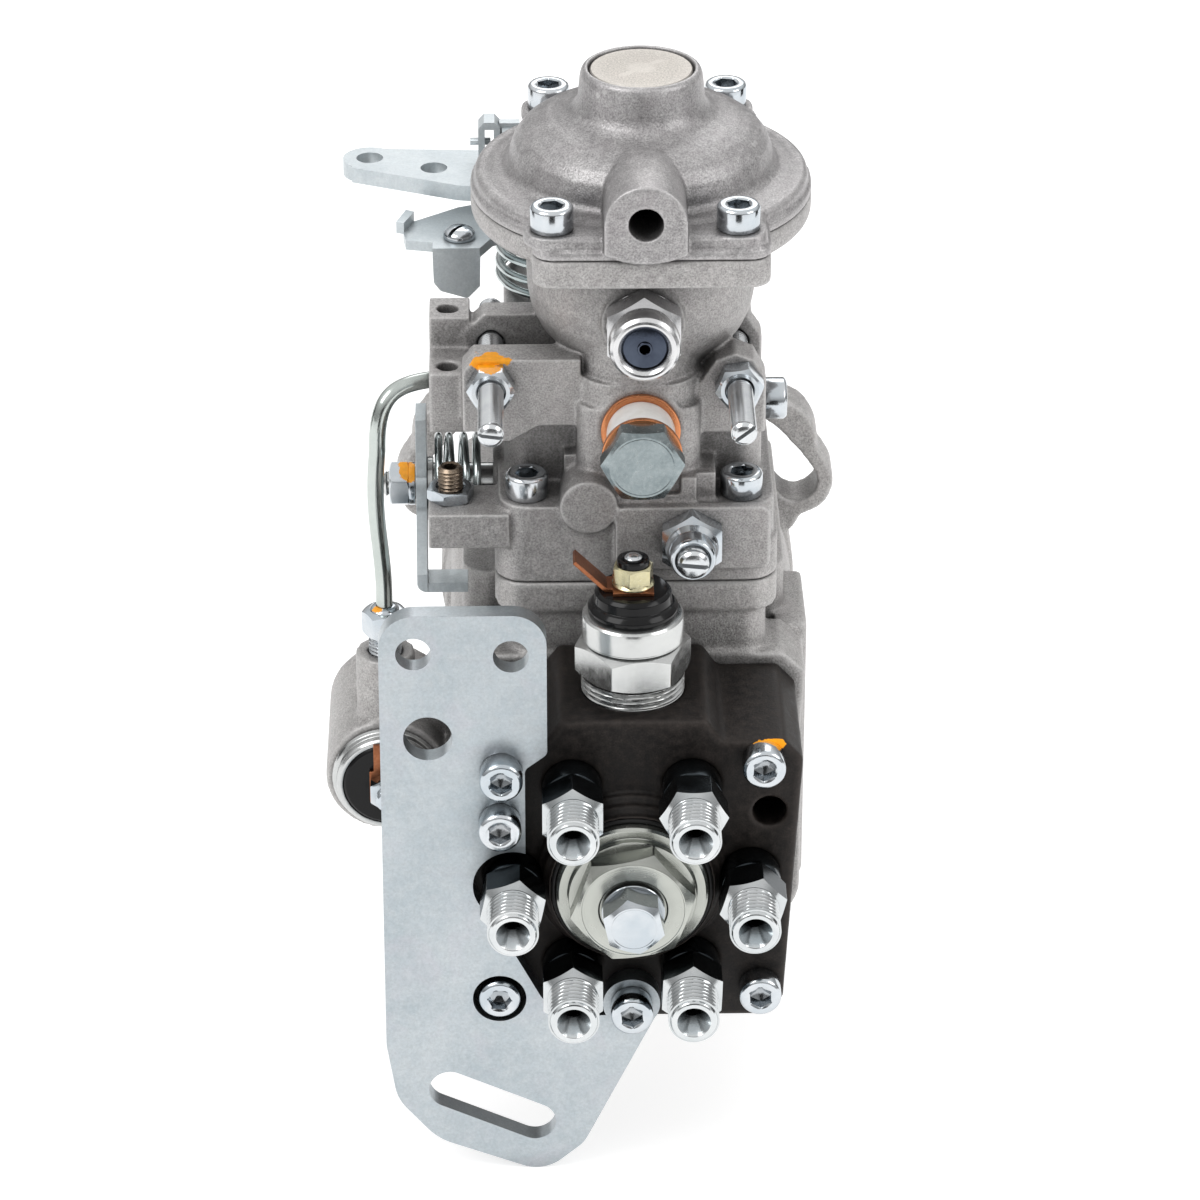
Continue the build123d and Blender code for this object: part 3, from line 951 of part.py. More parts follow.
with BuildPart() as shaft_nut:
    add(place(hex_bar(22.0, 11.0, top_c=1.4, low_c=0.6, hole=7.0), 0, 40.4, 0, YP))
shaft_nut.part.label = "shaft_nut"
export_step(shaft_nut.part, "parts/shaft_nut.step")

with BuildPart() as vane_pump_ring:
    with BuildSketch(at_y(-26.5)):
        Circle(MAIN_R)
        with Locations((0, 1.5)):
            Circle(24, mode=Mode.SUBTRACT)
    extrude(amount=14)
    # port plate that closes the pump chamber
    with BuildSketch(at_y(-40.5)):
        Circle(MAIN_R)
        Circle(10.4, mode=Mode.SUBTRACT)
        with Locations((17, 0), (-17, 0)):
            SlotOverall(12, 5, rotation=90, mode=Mode.SUBTRACT)
    extrude(amount=3)
vane_pump_ring.part.label = "vane_pump_ring"
export_step(vane_pump_ring.part, "parts/vane_pump_ring.step")

with BuildPart() as vane_pump_rotor:
    with BuildSketch(at_y(-27)):
        Circle(21.5)
        Circle(10.0, mode=Mode.SUBTRACT)
        for a in (45, 135, 225, 315):
            with Locations(Location((0, 0, 0), (0, 0, a))):
                with Locations((18.5, 0)):
                    Rectangle(10, 2.2, mode=Mode.SUBTRACT)
    extrude(amount=13)
    # four sliding vanes
    with BuildSketch(at_y(-27)):
        for a in (45, 135, 225, 315):
            with Locations(Location((0, 0, 0), (0, 0, a))):
                with Locations((18.0, 0)):
                    Rectangle(8.4, 2.0)
    extrude(amount=13)
vane_pump_rotor.part.label = "vane_pump_rotor"
export_step(vane_pump_rotor.part, "parts/vane_pump_rotor.step")


def gear_points(n, module, phase):
    """Outline of a spur gear, straight-sided teeth with backlash."""
    r = n * module / 2
    pts = []
    step = 2 * math.pi / n
    for i in range(n):
        a = phase + i * step
        for frac, rad in ((-0.32, r - 1.2 * module), (-0.215, r - 0.15 * module), (-0.10, r + 0.80 * module), (0.10, r + 0.80 * module), (0.215, r - 0.15 * module), (0.32, r - 1.2 * module)):
            pts.append((rad * math.cos(a + frac * step), rad * math.sin(a + frac * step)))
    return pts


with BuildPart() as governor_drive_gear:
    with BuildSketch(at_y(-45)):
        with BuildLine():
            Polyline(*gear_points(32, 2.0, math.pi / 2), close=True)
        make_face()
        Circle(10.0, mode=Mode.SUBTRACT)
    extrude(amount=6)
governor_drive_gear.part.label = "governor_drive_gear"
export_step(governor_drive_gear.part, "parts/governor_drive_gear.step")

# ---------------------------------------------------------------------------
# Cam drive, plunger, control collar
# ---------------------------------------------------------------------------
with BuildPart() as roller_ring:
    with BuildSketch(at_y(-57)):
        Circle(RING_R)
        Circle(19.5, mode=Mode.SUBTRACT)
    extrude(amount=9.5)
    for a in (0, 90, 180, 270):
        c, s = math.cos(math.radians(a)), math.sin(math.radians(a))
        with Locations(Plane(origin=(20.4 * c, -66.5, 20.4 * s), z_dir=(c, 0, s))):
            Cylinder(5.0, 10.6, align=LOW, mode=Mode.SUBTRACT)
    # lever pin down into the timing piston
    rod(0, -62.0, -26, ZM, 3.0, 28)
    # four rollers resting in the ring
    for a in (0, 90, 180, 270):
        c, s = math.cos(math.radians(a)), math.sin(math.radians(a))
        with Locations(Plane(origin=(20.7 * c, -66.5, 20.7 * s), z_dir=(c, 0, s))):
            Cylinder(4.9, 10.0, align=LOW)
roller_ring.part.label = "roller_ring"
export_step(roller_ring.part, "parts/roller_ring.step")

with BuildPart() as cam_disc:
    with BuildSketch(at_y(-74.5)):
        Circle(31)
        Circle(4.0, mode=Mode.SUBTRACT)
    extrude(amount=5.5)
    # six lobes facing the rollers
    for a in range(0, 360, 60):
        c, s = math.cos(math.radians(a)), math.sin(math.radians(a))
        with Locations(Plane(origin=(20.0 * c, -76.4, 20.0 * s), z_dir=(c, 0, s))):
            Cylinder(4.6, 11.0, align=LOW)
    block(-31, 31, -90, -80, -31, 31, mode=Mode.SUBTRACT)
    # driven claws
    for z0, z1 in ((-12.5, -6), (6, 12.5)):
        block(-5.2, 5.2, -75, -60, z0, z1)
cam_disc.part.label = "cam_disc"
export_step(cam_disc.part, "parts/cam_disc.step")

with BuildPart() as pump_plunger:
    rod(0, -80, 0, YM, 13.0, 2.0)
    rod(0, -75, 0, YM, 4.0, 6)
    rod(0, -82, 0, YM, PLUNGER_R, 71)
    rod(0, -153, 0, YP, 1.2, 51, mode=Mode.SUBTRACT)
    rod(-8, -100, 0, XP, 1.2, 16, mode=Mode.SUBTRACT)
pump_plunger.part.label = "pump_plunger"
export_step(pump_plunger.part, "parts/pump_plunger.step")

with BuildPart() as plunger_springs:
    for x in (-18, 18):
        add(coil(4.4, 1.6, 30.2, 5.5, frame_at(x, -85.2, 0, YM)))
    # plate that spreads the spring force to the plunger foot
    with BuildSketch(at_y(-82.3)):
        SlotOverall(50, 14)
        Circle(6.6, mode=Mode.SUBTRACT)
    extrude(amount=1.8)
plunger_springs.part.label = "plunger_springs"
export_step(plunger_springs.part, "parts/plunger_springs.step")

with BuildPart() as control_collar:
    rod(0, -92.5, 0, YM, 11.0, 8)
    rod(0, -92, 0, YM, PLUNGER_R + FIT, 9, mode=Mode.SUBTRACT)
    with Locations((0, -96.5, 9)):
        Box(5.2, 5.3, 8, mode=Mode.SUBTRACT)
control_collar.part.label = "control_collar"
export_step(control_collar.part, "parts/control_collar.step")

# ---------------------------------------------------------------------------
# Governor
# ---------------------------------------------------------------------------
with BuildPart() as governor_shaft:
    rod(0, -22, GOV_Z, YM, 4.0, 64)
governor_shaft.part.label = "governor_shaft"
export_step(governor_shaft.part, "parts/governor_shaft.step")

with BuildPart() as governor_flyweights:
    # gear and carrier; a tooth gap faces the driving gear
    with BuildSketch(frame_at(0, -45, GOV_Z, YM)):
        with BuildLine():
            Polyline(*gear_points(20, 2.0, -math.pi / 2 + math.pi / 20), close=True)
        make_face()
        Circle(4.0 + FIT, mode=Mode.SUBTRACT)
    extrude(amount=6)
    with BuildSketch(frame_at(0, -51, GOV_Z, YM)):
        Circle(17.5)
        Circle(4.0 + FIT, mode=Mode.SUBTRACT)
    extrude(amount=2.5)
    # four flyweights with their fingers
    for a in (45, 135, 225, 315):
        c, s = math.cos(math.radians(a)), math.sin(math.radians(a))
        with Locations(Location((12.2 * c, -61.0, GOV_Z + 12.2 * s), (0, -a, 0))):
            Box(8.0, 14.4, 12.0)
    for a in (0, 90, 180, 270):
        c, s = math.cos(math.radians(a)), math.sin(math.radians(a))
        with Locations(Location((15.0 * c, -58.0, GOV_Z + 15.0 * s), (0, -a, 0))):
            Box(4.2, 9.4, 4.0)
governor_flyweights.part.label = "governor_flyweights"
export_step(governor_flyweights.part, "parts/governor_flyweights.step")

with BuildPart() as governor_sleeve:
    add(place(turned([(4.0 + FIT, 0), (9.5, 0), (9.5, 2.0), (6.4, 2.2), (6.4, 20.0), (2.2, 22.6), (2.2, 24.0), (0, 24.0), (0, 18.4), (4.0 + FIT, 18.4)]), 0, -70.5, GOV_Z, YM))
governor_sleeve.part.label = "governor_sleeve"
export_step(governor_sleeve.part, "parts/governor_sleeve.step")

with BuildPart() as governor_lever:
    with BuildSketch(at_y(-95)):
        with BuildLine():
            Polyline((-2.4, 11.5), (-6, 22), (-6, 60), (-3.5, 80), (3.5, 80), (6, 60), (6, 22), (2.4, 11.5), close=True)
        make_face()
    extrude(amount=3)
    rod(-26.5, PIVOT_Y, PIVOT_Z, XP, 2.5, 57.5)
    with Locations((0, PIVOT_Y, 9.0)):
        Sphere(2.35)
    rod(0, PIVOT_Y, 9.0, ZP, 1.5, 5)
    # hook eye for the governor spring
    block(-1.2, 1.2, -95.4, -91, 74.5, 79.5)
governor_lever.part.label = "governor_lever"
export_step(governor_lever.part, "parts/governor_lever.step")

with BuildPart() as governor_spring:
    add(coil(3.2, 1.3, 37, 15, frame_at(0, -89.5, 77, YP)))
governor_spring.part.label = "governor_spring"
export_step(governor_spring.part, "parts/governor_spring.step")

# ---------------------------------------------------------------------------
# Timing device
# ---------------------------------------------------------------------------
with BuildPart() as timing_piston:
    rod(-20, TIMER_Y, TIMER_Z, XP, 10.5 - FIT, 32)
    with Locations((0, TIMER_Y, TIMER_Z + 4)):
        Box(11.0, 8.2, 22, mode=Mode.SUBTRACT)
    rod(6.5, TIMER_Y, TIMER_Z, XP, 6.5, 10, mode=Mode.SUBTRACT)
timing_piston.part.label = "timing_piston"
export_step(timing_piston.part, "parts/timing_piston.step")

with BuildPart() as timing_spring:
    add(coil(4.8, 1.5, 29.9, 8, frame_at(8.6, TIMER_Y, TIMER_Z, XP)))
timing_spring.part.label = "timing_spring"
export_step(timing_spring.part, "parts/timing_spring.step")

with BuildPart() as timing_covers:
    for x, d in ((SIDE_X, XP), (-SIDE_X, XM)):
        with BuildSketch(frame_at(x, TIMER_Y, TIMER_Z, d)):
            RectangleRounded(31, 31, 7)
            for a, b in ((-12, 9.5), (12, -9.5)):
                with Locations((a, b)) if d == XP else Locations((a, -b)):
                    Circle(2.0, mode=Mode.SUBTRACT)
        extrude(amount=2.5)
    # small screws of the two covers
    for y, z in ((-12, 9.5), (12, -9.5)):
        for x, d in ((SIDE_X + 2.5, XP), (-SIDE_X - 2.5, XM)):
            rod(x, TIMER_Y + y, TIMER_Z + z, d, 3.4, 1.2)
            rod(x + (0.1 if d == XP else -0.1), TIMER_Y + y, TIMER_Z + z, XM if d == XP else XP, 2.0, 10)
timing_covers.part.label = "timing_covers"
export_step(timing_covers.part, "parts/timing_covers.step")
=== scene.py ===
import json
import math
import random

import bpy
import bmesh
import numpy as np
from mathutils import Matrix, Vector


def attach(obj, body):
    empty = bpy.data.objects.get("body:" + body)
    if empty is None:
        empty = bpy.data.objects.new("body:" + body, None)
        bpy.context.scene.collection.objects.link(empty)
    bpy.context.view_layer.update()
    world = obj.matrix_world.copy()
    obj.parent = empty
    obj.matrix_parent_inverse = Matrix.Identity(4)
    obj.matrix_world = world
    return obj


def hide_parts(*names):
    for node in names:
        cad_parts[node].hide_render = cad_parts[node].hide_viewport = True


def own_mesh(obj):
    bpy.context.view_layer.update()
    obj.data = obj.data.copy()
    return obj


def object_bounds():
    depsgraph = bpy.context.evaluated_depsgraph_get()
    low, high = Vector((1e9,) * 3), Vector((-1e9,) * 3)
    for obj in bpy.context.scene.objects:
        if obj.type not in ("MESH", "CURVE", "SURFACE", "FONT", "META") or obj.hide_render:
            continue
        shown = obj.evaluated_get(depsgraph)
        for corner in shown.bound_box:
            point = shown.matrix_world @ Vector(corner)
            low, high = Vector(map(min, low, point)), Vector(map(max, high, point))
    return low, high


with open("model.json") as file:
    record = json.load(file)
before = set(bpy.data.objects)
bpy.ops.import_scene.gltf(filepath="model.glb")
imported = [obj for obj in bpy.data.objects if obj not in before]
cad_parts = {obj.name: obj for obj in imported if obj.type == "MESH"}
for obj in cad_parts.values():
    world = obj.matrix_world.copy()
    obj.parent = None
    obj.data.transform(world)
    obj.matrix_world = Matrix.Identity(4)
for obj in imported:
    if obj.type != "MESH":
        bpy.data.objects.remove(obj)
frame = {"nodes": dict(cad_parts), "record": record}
LO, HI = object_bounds()
CAD_BOX = [[float(v) for v in LO], [float(v) for v in HI]]
N = frame["nodes"]
MM = 0.001
XP, XM, YP, YM, ZP, ZM = (1, 0, 0), (-1, 0, 0), (0, 1, 0), (0, -1, 0), (0, 0, 1), (0, 0, -1)
BODY = {n: b for b, ns in frame["record"]["behaviour"]["bodies"].items() for n in ns}


# ---------------------------------------------------------------------------
# small node-tree helper
# ---------------------------------------------------------------------------
class Tree:
    def __init__(self, name):
        self.m = bpy.data.materials.new(name)
        self.m.use_nodes = True
        self.t = self.m.node_tree
        self.b = self.t.nodes["Principled BSDF"]
        self.tc = self.t.nodes.new("ShaderNodeTexCoord")

    def put(self, socket, value):
        if isinstance(value, bpy.types.NodeSocket):
            self.t.links.new(value, socket)
        else:
            if isinstance(value, tuple) and len(value) == 3 and len(socket.default_value) == 4:
                value = (*value, 1.0)
            socket.default_value = value

    def shader(self, **values):
        for k, v in values.items():
            self.put(self.b.inputs[k.replace("_", " ")], v)
        return self.m

    @property
    def obj(self):
        return self.tc.outputs["Object"]

    def mapped(self, scale=(1, 1, 1), loc=(0, 0, 0), rot=(0, 0, 0)):
        n = self.t.nodes.new("ShaderNodeMapping")
        self.t.links.new(self.obj, n.inputs["Vector"])
        n.inputs["Scale"].default_value = scale
        n.inputs["Location"].default_value = loc
        n.inputs["Rotation"].default_value = rot
        return n.outputs[0]

    def noise(self, scale, detail=3.0, rough=0.55, vector=None, distortion=0.0):
        n = self.t.nodes.new("ShaderNodeTexNoise")
        self.t.links.new(vector if vector is not None else self.obj, n.inputs["Vector"])
        n.inputs["Scale"].default_value = scale
        n.inputs["Detail"].default_value = detail
        n.inputs["Roughness"].default_value = rough
        n.inputs["Distortion"].default_value = distortion
        return n.outputs["Fac"]

    def cells(self, scale, feature="F1", vector=None, rand=1.0):
        n = self.t.nodes.new("ShaderNodeTexVoronoi")
        self.t.links.new(vector if vector is not None else self.obj, n.inputs["Vector"])
        n.feature = feature
        n.inputs["Scale"].default_value = scale
        n.inputs["Randomness"].default_value = rand
        return n.outputs["Distance"], n.outputs["Color"] if feature != "DISTANCE_TO_EDGE" else None

    def ramp(self, fac, stops, interp="LINEAR"):
        n = self.t.nodes.new("ShaderNodeValToRGB")
        n.color_ramp.interpolation = interp
        self.put(n.inputs["Fac"], fac)
        el = n.color_ramp.elements
        while len(el) < len(stops):
            el.new(0.5)
        for e, (p, c) in zip(el, stops):
            e.position = p
            c = (c, c, c) if isinstance(c, (int, float)) else c
            e.color = (*c, 1.0)
        return n.outputs["Color"]

    def mix(self, fac, a, b, blend="MIX"):
        n = self.t.nodes.new("ShaderNodeMix")
        n.data_type = "RGBA"
        n.blend_type = blend
        self.put(n.inputs[0], fac)
        self.put(n.inputs[6], a)
        self.put(n.inputs[7], b)
        return n.outputs[2]

    def math(self, op, a, b=0.0, clamp=False):
        n = self.t.nodes.new("ShaderNodeMath")
        n.operation = op
        n.use_clamp = clamp
        self.put(n.inputs[0], a)
        self.put(n.inputs[1], b)
        return n.outputs[0]

    def span(self, v, a, b, lo=0.0, hi=1.0):
        n = self.t.nodes.new("ShaderNodeMapRange")
        self.put(n.inputs["Value"], v)
        n.inputs["From Min"].default_value = a
        n.inputs["From Max"].default_value = b
        n.inputs["To Min"].default_value = lo
        n.inputs["To Max"].default_value = hi
        return n.outputs[0]

    def axes(self):
        n = self.t.nodes.new("ShaderNodeSeparateXYZ")
        self.t.links.new(self.obj, n.inputs[0])
        return n.outputs[0], n.outputs[1], n.outputs[2]

    def bump(self, height, strength=0.4, distance=0.0001, normal=None):
        n = self.t.nodes.new("ShaderNodeBump")
        n.inputs["Strength"].default_value = strength
        n.inputs["Distance"].default_value = distance
        self.put(n.inputs["Height"], height)
        if normal is not None:
            self.t.links.new(normal, n.inputs["Normal"])
        return n.outputs[0]

    def shade(self, distance=0.008, samples=6, lo=0.35):
        """Painted shade: how open a place is, dark in corners and recesses."""
        n = self.t.nodes.new("ShaderNodeAmbientOcclusion")
        n.samples = samples
        n.inputs["Distance"].default_value = distance
        return self.span(n.outputs["AO"], 0.15, 0.95, lo, 1.0)

    def point(self):
        g = self.t.nodes.new("ShaderNodeNewGeometry")
        return g.outputs["Pointiness"]

    def vmath(self, op, a, b):
        n = self.t.nodes.new("ShaderNodeVectorMath")
        n.operation = op
        for i, v in enumerate((a, b)):
            if isinstance(v, bpy.types.NodeSocket):
                self.t.links.new(v, n.inputs[i])
            elif v is not None:
                n.inputs[i].default_value = v
        return n.outputs["Value"] if op in ("LENGTH", "DOT_PRODUCT", "DISTANCE") else n.outputs["Vector"]

    def marks(self, spots):
        """Mask of brushed-on paint: blobs with an uneven edge, given in mm."""
        edge = self.noise(900.0, 3.0, 0.6)
        wide = self.noise(260.0, 2.0, 0.5)
        out = None
        for centre, radii in spots:
            v = self.vmath("SUBTRACT", self.obj, tuple(c * MM for c in centre))
            v = self.vmath("MULTIPLY", v, tuple(1.0 / (r * MM) for r in radii))
            d = self.vmath("LENGTH", v, None)
            d = self.math("ADD", d, self.span(edge, 0.3, 0.7, -0.10, 0.10))
            d = self.math("ADD", d, self.span(wide, 0.3, 0.7, -0.28, 0.28))
            m = self.span(d, 0.93, 1.0, 1.0, 0.0)
            out = m if out is None else self.math("MAXIMUM", out, m)
        return self.math("MULTIPLY", out, 1.0, clamp=True)

    def lathe(self, x, z, scale=2600.0):
        """Fine rings about an axis along Y through (x, z), in mm."""
        ax, ay, az = self.axes()
        dx, dz = self.math("SUBTRACT", ax, x * MM), self.math("SUBTRACT", az, z * MM)
        r = self.math("SQRT", self.math("ADD", self.math("MULTIPLY", dx, dx), self.math("MULTIPLY", dz, dz)))
        c = self.t.nodes.new("ShaderNodeCombineXYZ")
        self.t.links.new(r, c.inputs[0])
        return self.noise(scale, 2.0, 0.6, vector=c.outputs[0])


# ---------------------------------------------------------------------------
# materials
# ---------------------------------------------------------------------------
PAINT = (0.93, 0.37, 0.008)
PAINT_SPOTS = [
    ((-32.4, -113.8, 112.4), (5.0, 5.6, 3.3)),
    ((-52.2, -96.0, 75.4), (2.7, 4.0, 3.2)),
    ((-59.8, -107.5, 43.2), (2.6, 2.6, 1.6)),
    ((31.8, -160.0, 35.4), (4.9, 1.6, 2.2)),
]


def painted(t, c, r, metallic, spots=PAINT_SPOTS):
    """Adds the assembly line's paint marks to a colour, roughness and metallic value."""
    m = t.marks(spots)
    tone = t.span(t.noise(700.0, 2.0, 0.5), 0.3, 0.7, 0.88, 1.08)
    col = t.mix(1.0, PAINT, tone, "MULTIPLY")
    return t.mix(m, c, col), t.math("ADD", t.math("MULTIPLY", m, 0.16), r, clamp=True), t.math("MULTIPLY", t.math("SUBTRACT", 1.0, m), metallic)


def cast_metal(name, base, dark, light, rough=0.50, metallic=0.45, grain=1.0, ao=0.30, shot=1.0, paint=False, spec=0.5, reach=0.014):
    t = Tree(name)
    broad = t.noise(34.0, 3.0, 0.6)
    mid = t.noise(420.0, 4.0, 0.65)
    fine = t.noise(2300.0, 3.0, 0.7)
    pits, _ = t.cells(1500.0)
    c = t.mix(t.span(broad, 0.3, 0.7), dark, base)
    c = t.mix(t.span(mid, 0.38, 0.72, 0.0, 0.45), c, light)
    speck = t.span(fine, 0.36, 0.64, 0.68, 1.28)
    c = t.mix(1.0, c, speck, "MULTIPLY")
    warm = t.noise(150.0, 2.0, 0.5)
    c = t.mix(t.span(warm, 0.45, 0.75, 0.0, 0.16), c, (base[0] * 1.05, base[1] * 0.97, base[2] * 1.01))
    # painted highlight: convex edges, found by pointiness, are lightened toward the light colour
    edge = t.span(t.point(), 0.505, 0.56, 0.0, 0.6)
    c = t.mix(edge, c, light)
    # painted shade: ambient occlusion darkens the colour in recesses and corners
    c = t.mix(1.0, c, t.shade(reach, 8, ao), "MULTIPLY")
    r = t.span(mid, 0.3, 0.7, rough - 0.07, rough + 0.07)
    if paint:
        c, r, metallic = painted(t, c, r, metallic)
    h = t.math("ADD", t.math("MULTIPLY", fine, 0.55 * grain), t.math("MULTIPLY", mid, 0.8 * grain))
    h = t.math("SUBTRACT", h, t.math("MULTIPLY", t.span(pits, 0.0, 0.5, 1.0, 0.0), 0.35 * shot))
    t.b.inputs["Specular IOR Level"].default_value = spec
    return t.shader(Base_Color=c, Roughness=r, Metallic=metallic, Normal=t.bump(h, 0.55, 0.00022))


def plated(name, base, dark, light, rough=0.3, metallic=0.95, mottle=60.0, blot=0.4, grain=0.25, tint=None, ao=0.55, scratch=0.0, lathe=None, speck=0.0, turned_by=1.3):
    """Zinc-plated or turned steel: mottled, with a fine grain."""
    t = Tree(name)
    a = t.noise(mottle, 5.0, 0.62, distortion=0.6)
    b = t.noise(mottle * 9.0, 3.0, 0.6)
    f = t.noise(3200.0, 2.0, 0.6)
    c = t.mix(t.span(a, 0.34, 0.68), dark, base)
    c = t.mix(t.span(b, 0.42, 0.75, 0.0, blot), c, light)
    if tint:
        c = t.mix(t.span(t.noise(mottle * 1.7, 3.0, 0.5, distortion=1.2), 0.52, 0.78, 0.0, 0.35), c, tint)
    if speck:
        c = t.mix(1.0, c, t.span(t.noise(1700.0, 3.0, 0.7), 0.32, 0.68, 1.0 - speck, 1.0 + speck), "MULTIPLY")
    # painted shade: ambient occlusion darkens the colour in recesses
    c = t.mix(1.0, c, t.shade(0.006, 6, ao), "MULTIPLY")
    r = t.span(b, 0.3, 0.7, rough - 0.05, rough + 0.06)
    if scratch:
        s = t.noise(900.0, 3.0, 0.7, vector=t.mapped((0.05, 1.0, 1.0)))
        r = t.math("ADD", r, t.span(s, 0.5, 0.8, 0.0, scratch), clamp=True)
    h = t.math("ADD", t.math("MULTIPLY", f, grain), t.math("MULTIPLY", b, grain * 1.6))
    if lathe is not None:
        w = t.lathe(*lathe)
        h = t.math("ADD", h, t.math("MULTIPLY", w, turned_by))
        c = t.mix(1.0, c, t.span(w, 0.3, 0.7, 1.0 - 0.08 * turned_by, 1.0 + 0.05 * turned_by), "MULTIPLY")
    return t.shader(Base_Color=c, Roughness=r, Metallic=metallic, Normal=t.bump(h, 0.35, 0.00008))


def bright(name, base=(0.74, 0.76, 0.78), rough=0.13, tint=(0.60, 0.65, 0.70), ao=0.45, paint=False):
    """Bright zinc: nearly a mirror, with slight stains."""
    t = Tree(name)
    a = t.noise(90.0, 4.0, 0.6, distortion=0.4)
    b = t.noise(1400.0, 3.0, 0.6)
    c = t.mix(t.span(a, 0.35, 0.7), tint, base)
    c = t.mix(t.span(b, 0.55, 0.8, 0.0, 0.30), c, (base[0] * 0.72, base[1] * 0.72, base[2] * 0.72))
    # painted shade: ambient occlusion darkens the colour in recesses
    c = t.mix(1.0, c, t.shade(0.004, 6, ao), "MULTIPLY")
    r = t.span(a, 0.3, 0.75, rough - 0.03, rough + 0.08)
    metallic = 1.0
    if paint:
        c, r, metallic = painted(t, c, r, metallic)
    n = t.bump(b, 0.22, 0.00003)
    return t.shader(Base_Color=c, Roughness=r, Metallic=metallic, Normal=n)


M = {}
M["cast_housing"] = cast_metal("cast_housing", (0.440, 0.427, 0.417), (0.335, 0.325, 0.318), (0.65, 0.64, 0.63))
M["cast_cover"] = cast_metal("cast_cover", (0.430, 0.416, 0.409), (0.325, 0.314, 0.310), (0.65, 0.64, 0.63), grain=0.9, paint=True)
M["cast_dome"] = cast_metal("cast_dome", (0.400, 0.387, 0.388), (0.300, 0.290, 0.293), (0.64, 0.63, 0.625), rough=0.41, metallic=0.65, grain=0.8, ao=0.25)
M["cast_disc"] = cast_metal("cast_disc", (0.46, 0.43, 0.39), (0.40, 0.375, 0.345), (0.54, 0.51, 0.47), rough=0.36, metallic=0.7, grain=0.18, shot=0.1, ao=0.8)
M["dark_head"] = cast_metal("dark_head", (0.0135, 0.0105, 0.0092), (0.0075, 0.0062, 0.0058), (0.060, 0.049, 0.043), rough=0.50, metallic=0.0, grain=0.55, ao=0.35, shot=0.3, paint=True, spec=0.22)
M["zinc_sheet"] = plated("zinc_sheet", (0.49, 0.53, 0.555), (0.41, 0.46, 0.49), (0.61, 0.64, 0.65), rough=0.36, mottle=48.0, tint=(0.52, 0.50, 0.55), scratch=0.10, speck=0.09, ao=0.5)
M["bright_screws"] = bright("bright_screws", (0.67, 0.69, 0.71), 0.14, (0.51, 0.56, 0.60), paint=True)
M["plug_steel"] = plated("plug_steel", (0.53, 0.545, 0.505), (0.45, 0.465, 0.43), (0.63, 0.64, 0.605), rough=0.22, mottle=45.0, blot=0.12, grain=0.08, lathe=(0, 0), ao=0.5, turned_by=0.7)
# painted reflection: near-black mirror steel for the outlets' hexagons and necks, standing in for the dark surroundings
# they reflect
M["dark_plated"] = bright("dark_plated", (0.085, 0.10, 0.11), 0.20, (0.05, 0.06, 0.068))
M["satin_steel"] = plated("satin_steel", (0.62, 0.63, 0.62), (0.52, 0.53, 0.53), (0.74, 0.74, 0.73), rough=0.20, mottle=60.0, blot=0.15, grain=0.12)
M["yellow_zinc"] = plated("yellow_zinc", (0.66, 0.60, 0.36), (0.50, 0.46, 0.30), (0.80, 0.76, 0.55), rough=0.22, mottle=150.0, grain=0.12)
M["copper"] = plated("copper", (0.80, 0.33, 0.15), (0.64, 0.24, 0.10), (0.90, 0.48, 0.28), rough=0.22, mottle=60.0, blot=0.15, grain=0.03)
M["copper_dark"] = plated("copper_dark", (0.40, 0.15, 0.07), (0.24, 0.085, 0.04), (0.62, 0.28, 0.15), rough=0.34, mottle=160.0)
M["plain_aluminium"] = plated("plain_aluminium", (0.74, 0.74, 0.74), (0.64, 0.64, 0.65), (0.84, 0.84, 0.84), rough=0.22, mottle=60.0, blot=0.12, grain=0.05, lathe=(3.4, 123), turned_by=0.4)
M["spring_steel"] = bright("spring_steel", (0.62, 0.65, 0.65), 0.16, (0.34, 0.40, 0.40))
M["ground_steel"] = plated("ground_steel", (0.58, 0.58, 0.58), (0.50, 0.50, 0.50), (0.70, 0.70, 0.70), rough=0.22, mottle=100.0, lathe=(0, 0))
M["dark_steel"] = plated("dark_steel", (0.20, 0.20, 0.21), (0.13, 0.13, 0.14), (0.30, 0.30, 0.31), rough=0.34, mottle=120.0)


def plastic(name, base, rough, coat=0.0, grain=0.2, tone=0.2, spec=0.5):
    t = Tree(name)
    a = t.noise(300.0, 3.0, 0.6)
    c = t.mix(t.span(a, 0.35, 0.7), tuple(v * (1 - tone) for v in base), base)
    t.b.inputs["Specular IOR Level"].default_value = spec
    return t.shader(Base_Color=c, Roughness=t.span(a, 0.3, 0.7, rough - 0.04, rough + 0.05), Coat_Weight=coat, Normal=t.bump(t.noise(1800.0), grain, 0.00005))


M["black_insulator"] = plastic("black_insulator", (0.0045, 0.0045, 0.005), 0.15, 0.0, 0.08, 0.2, 0.25)
M["black_rubber"] = plastic("black_rubber", (0.010, 0.010, 0.010), 0.5, spec=0.3)
# painted shade: black for the inside of the outlets' bores
M["bore_painted_shade"] = plastic("bore_painted_shade", (0.004, 0.004, 0.004), 0.6, spec=0.1)


def nylon():
    t = Tree("nylon")
    a = t.noise(260.0, 3.0, 0.6)
    c = t.mix(t.span(a, 0.35, 0.7), (0.74, 0.72, 0.68), (0.86, 0.85, 0.82))
    return t.shader(Base_Color=c, Roughness=t.span(a, 0.3, 0.7, 0.28, 0.38), Subsurface_Weight=0.4, Subsurface_Radius=(0.003, 0.003, 0.0025), Subsurface_Scale=1.0, Normal=t.bump(a, 0.1, 0.00005))


M["nylon"] = nylon()
M["vent_dark"] = bright("vent_dark", (0.10, 0.12, 0.16), 0.12, (0.05, 0.06, 0.085))
# painted shade: ao=0.05 lets ambient occlusion darken the seat cone's recesses nearly to black
M["seat_steel"] = bright("seat_steel", (0.68, 0.70, 0.71), 0.15, (0.56, 0.60, 0.62), ao=0.05)

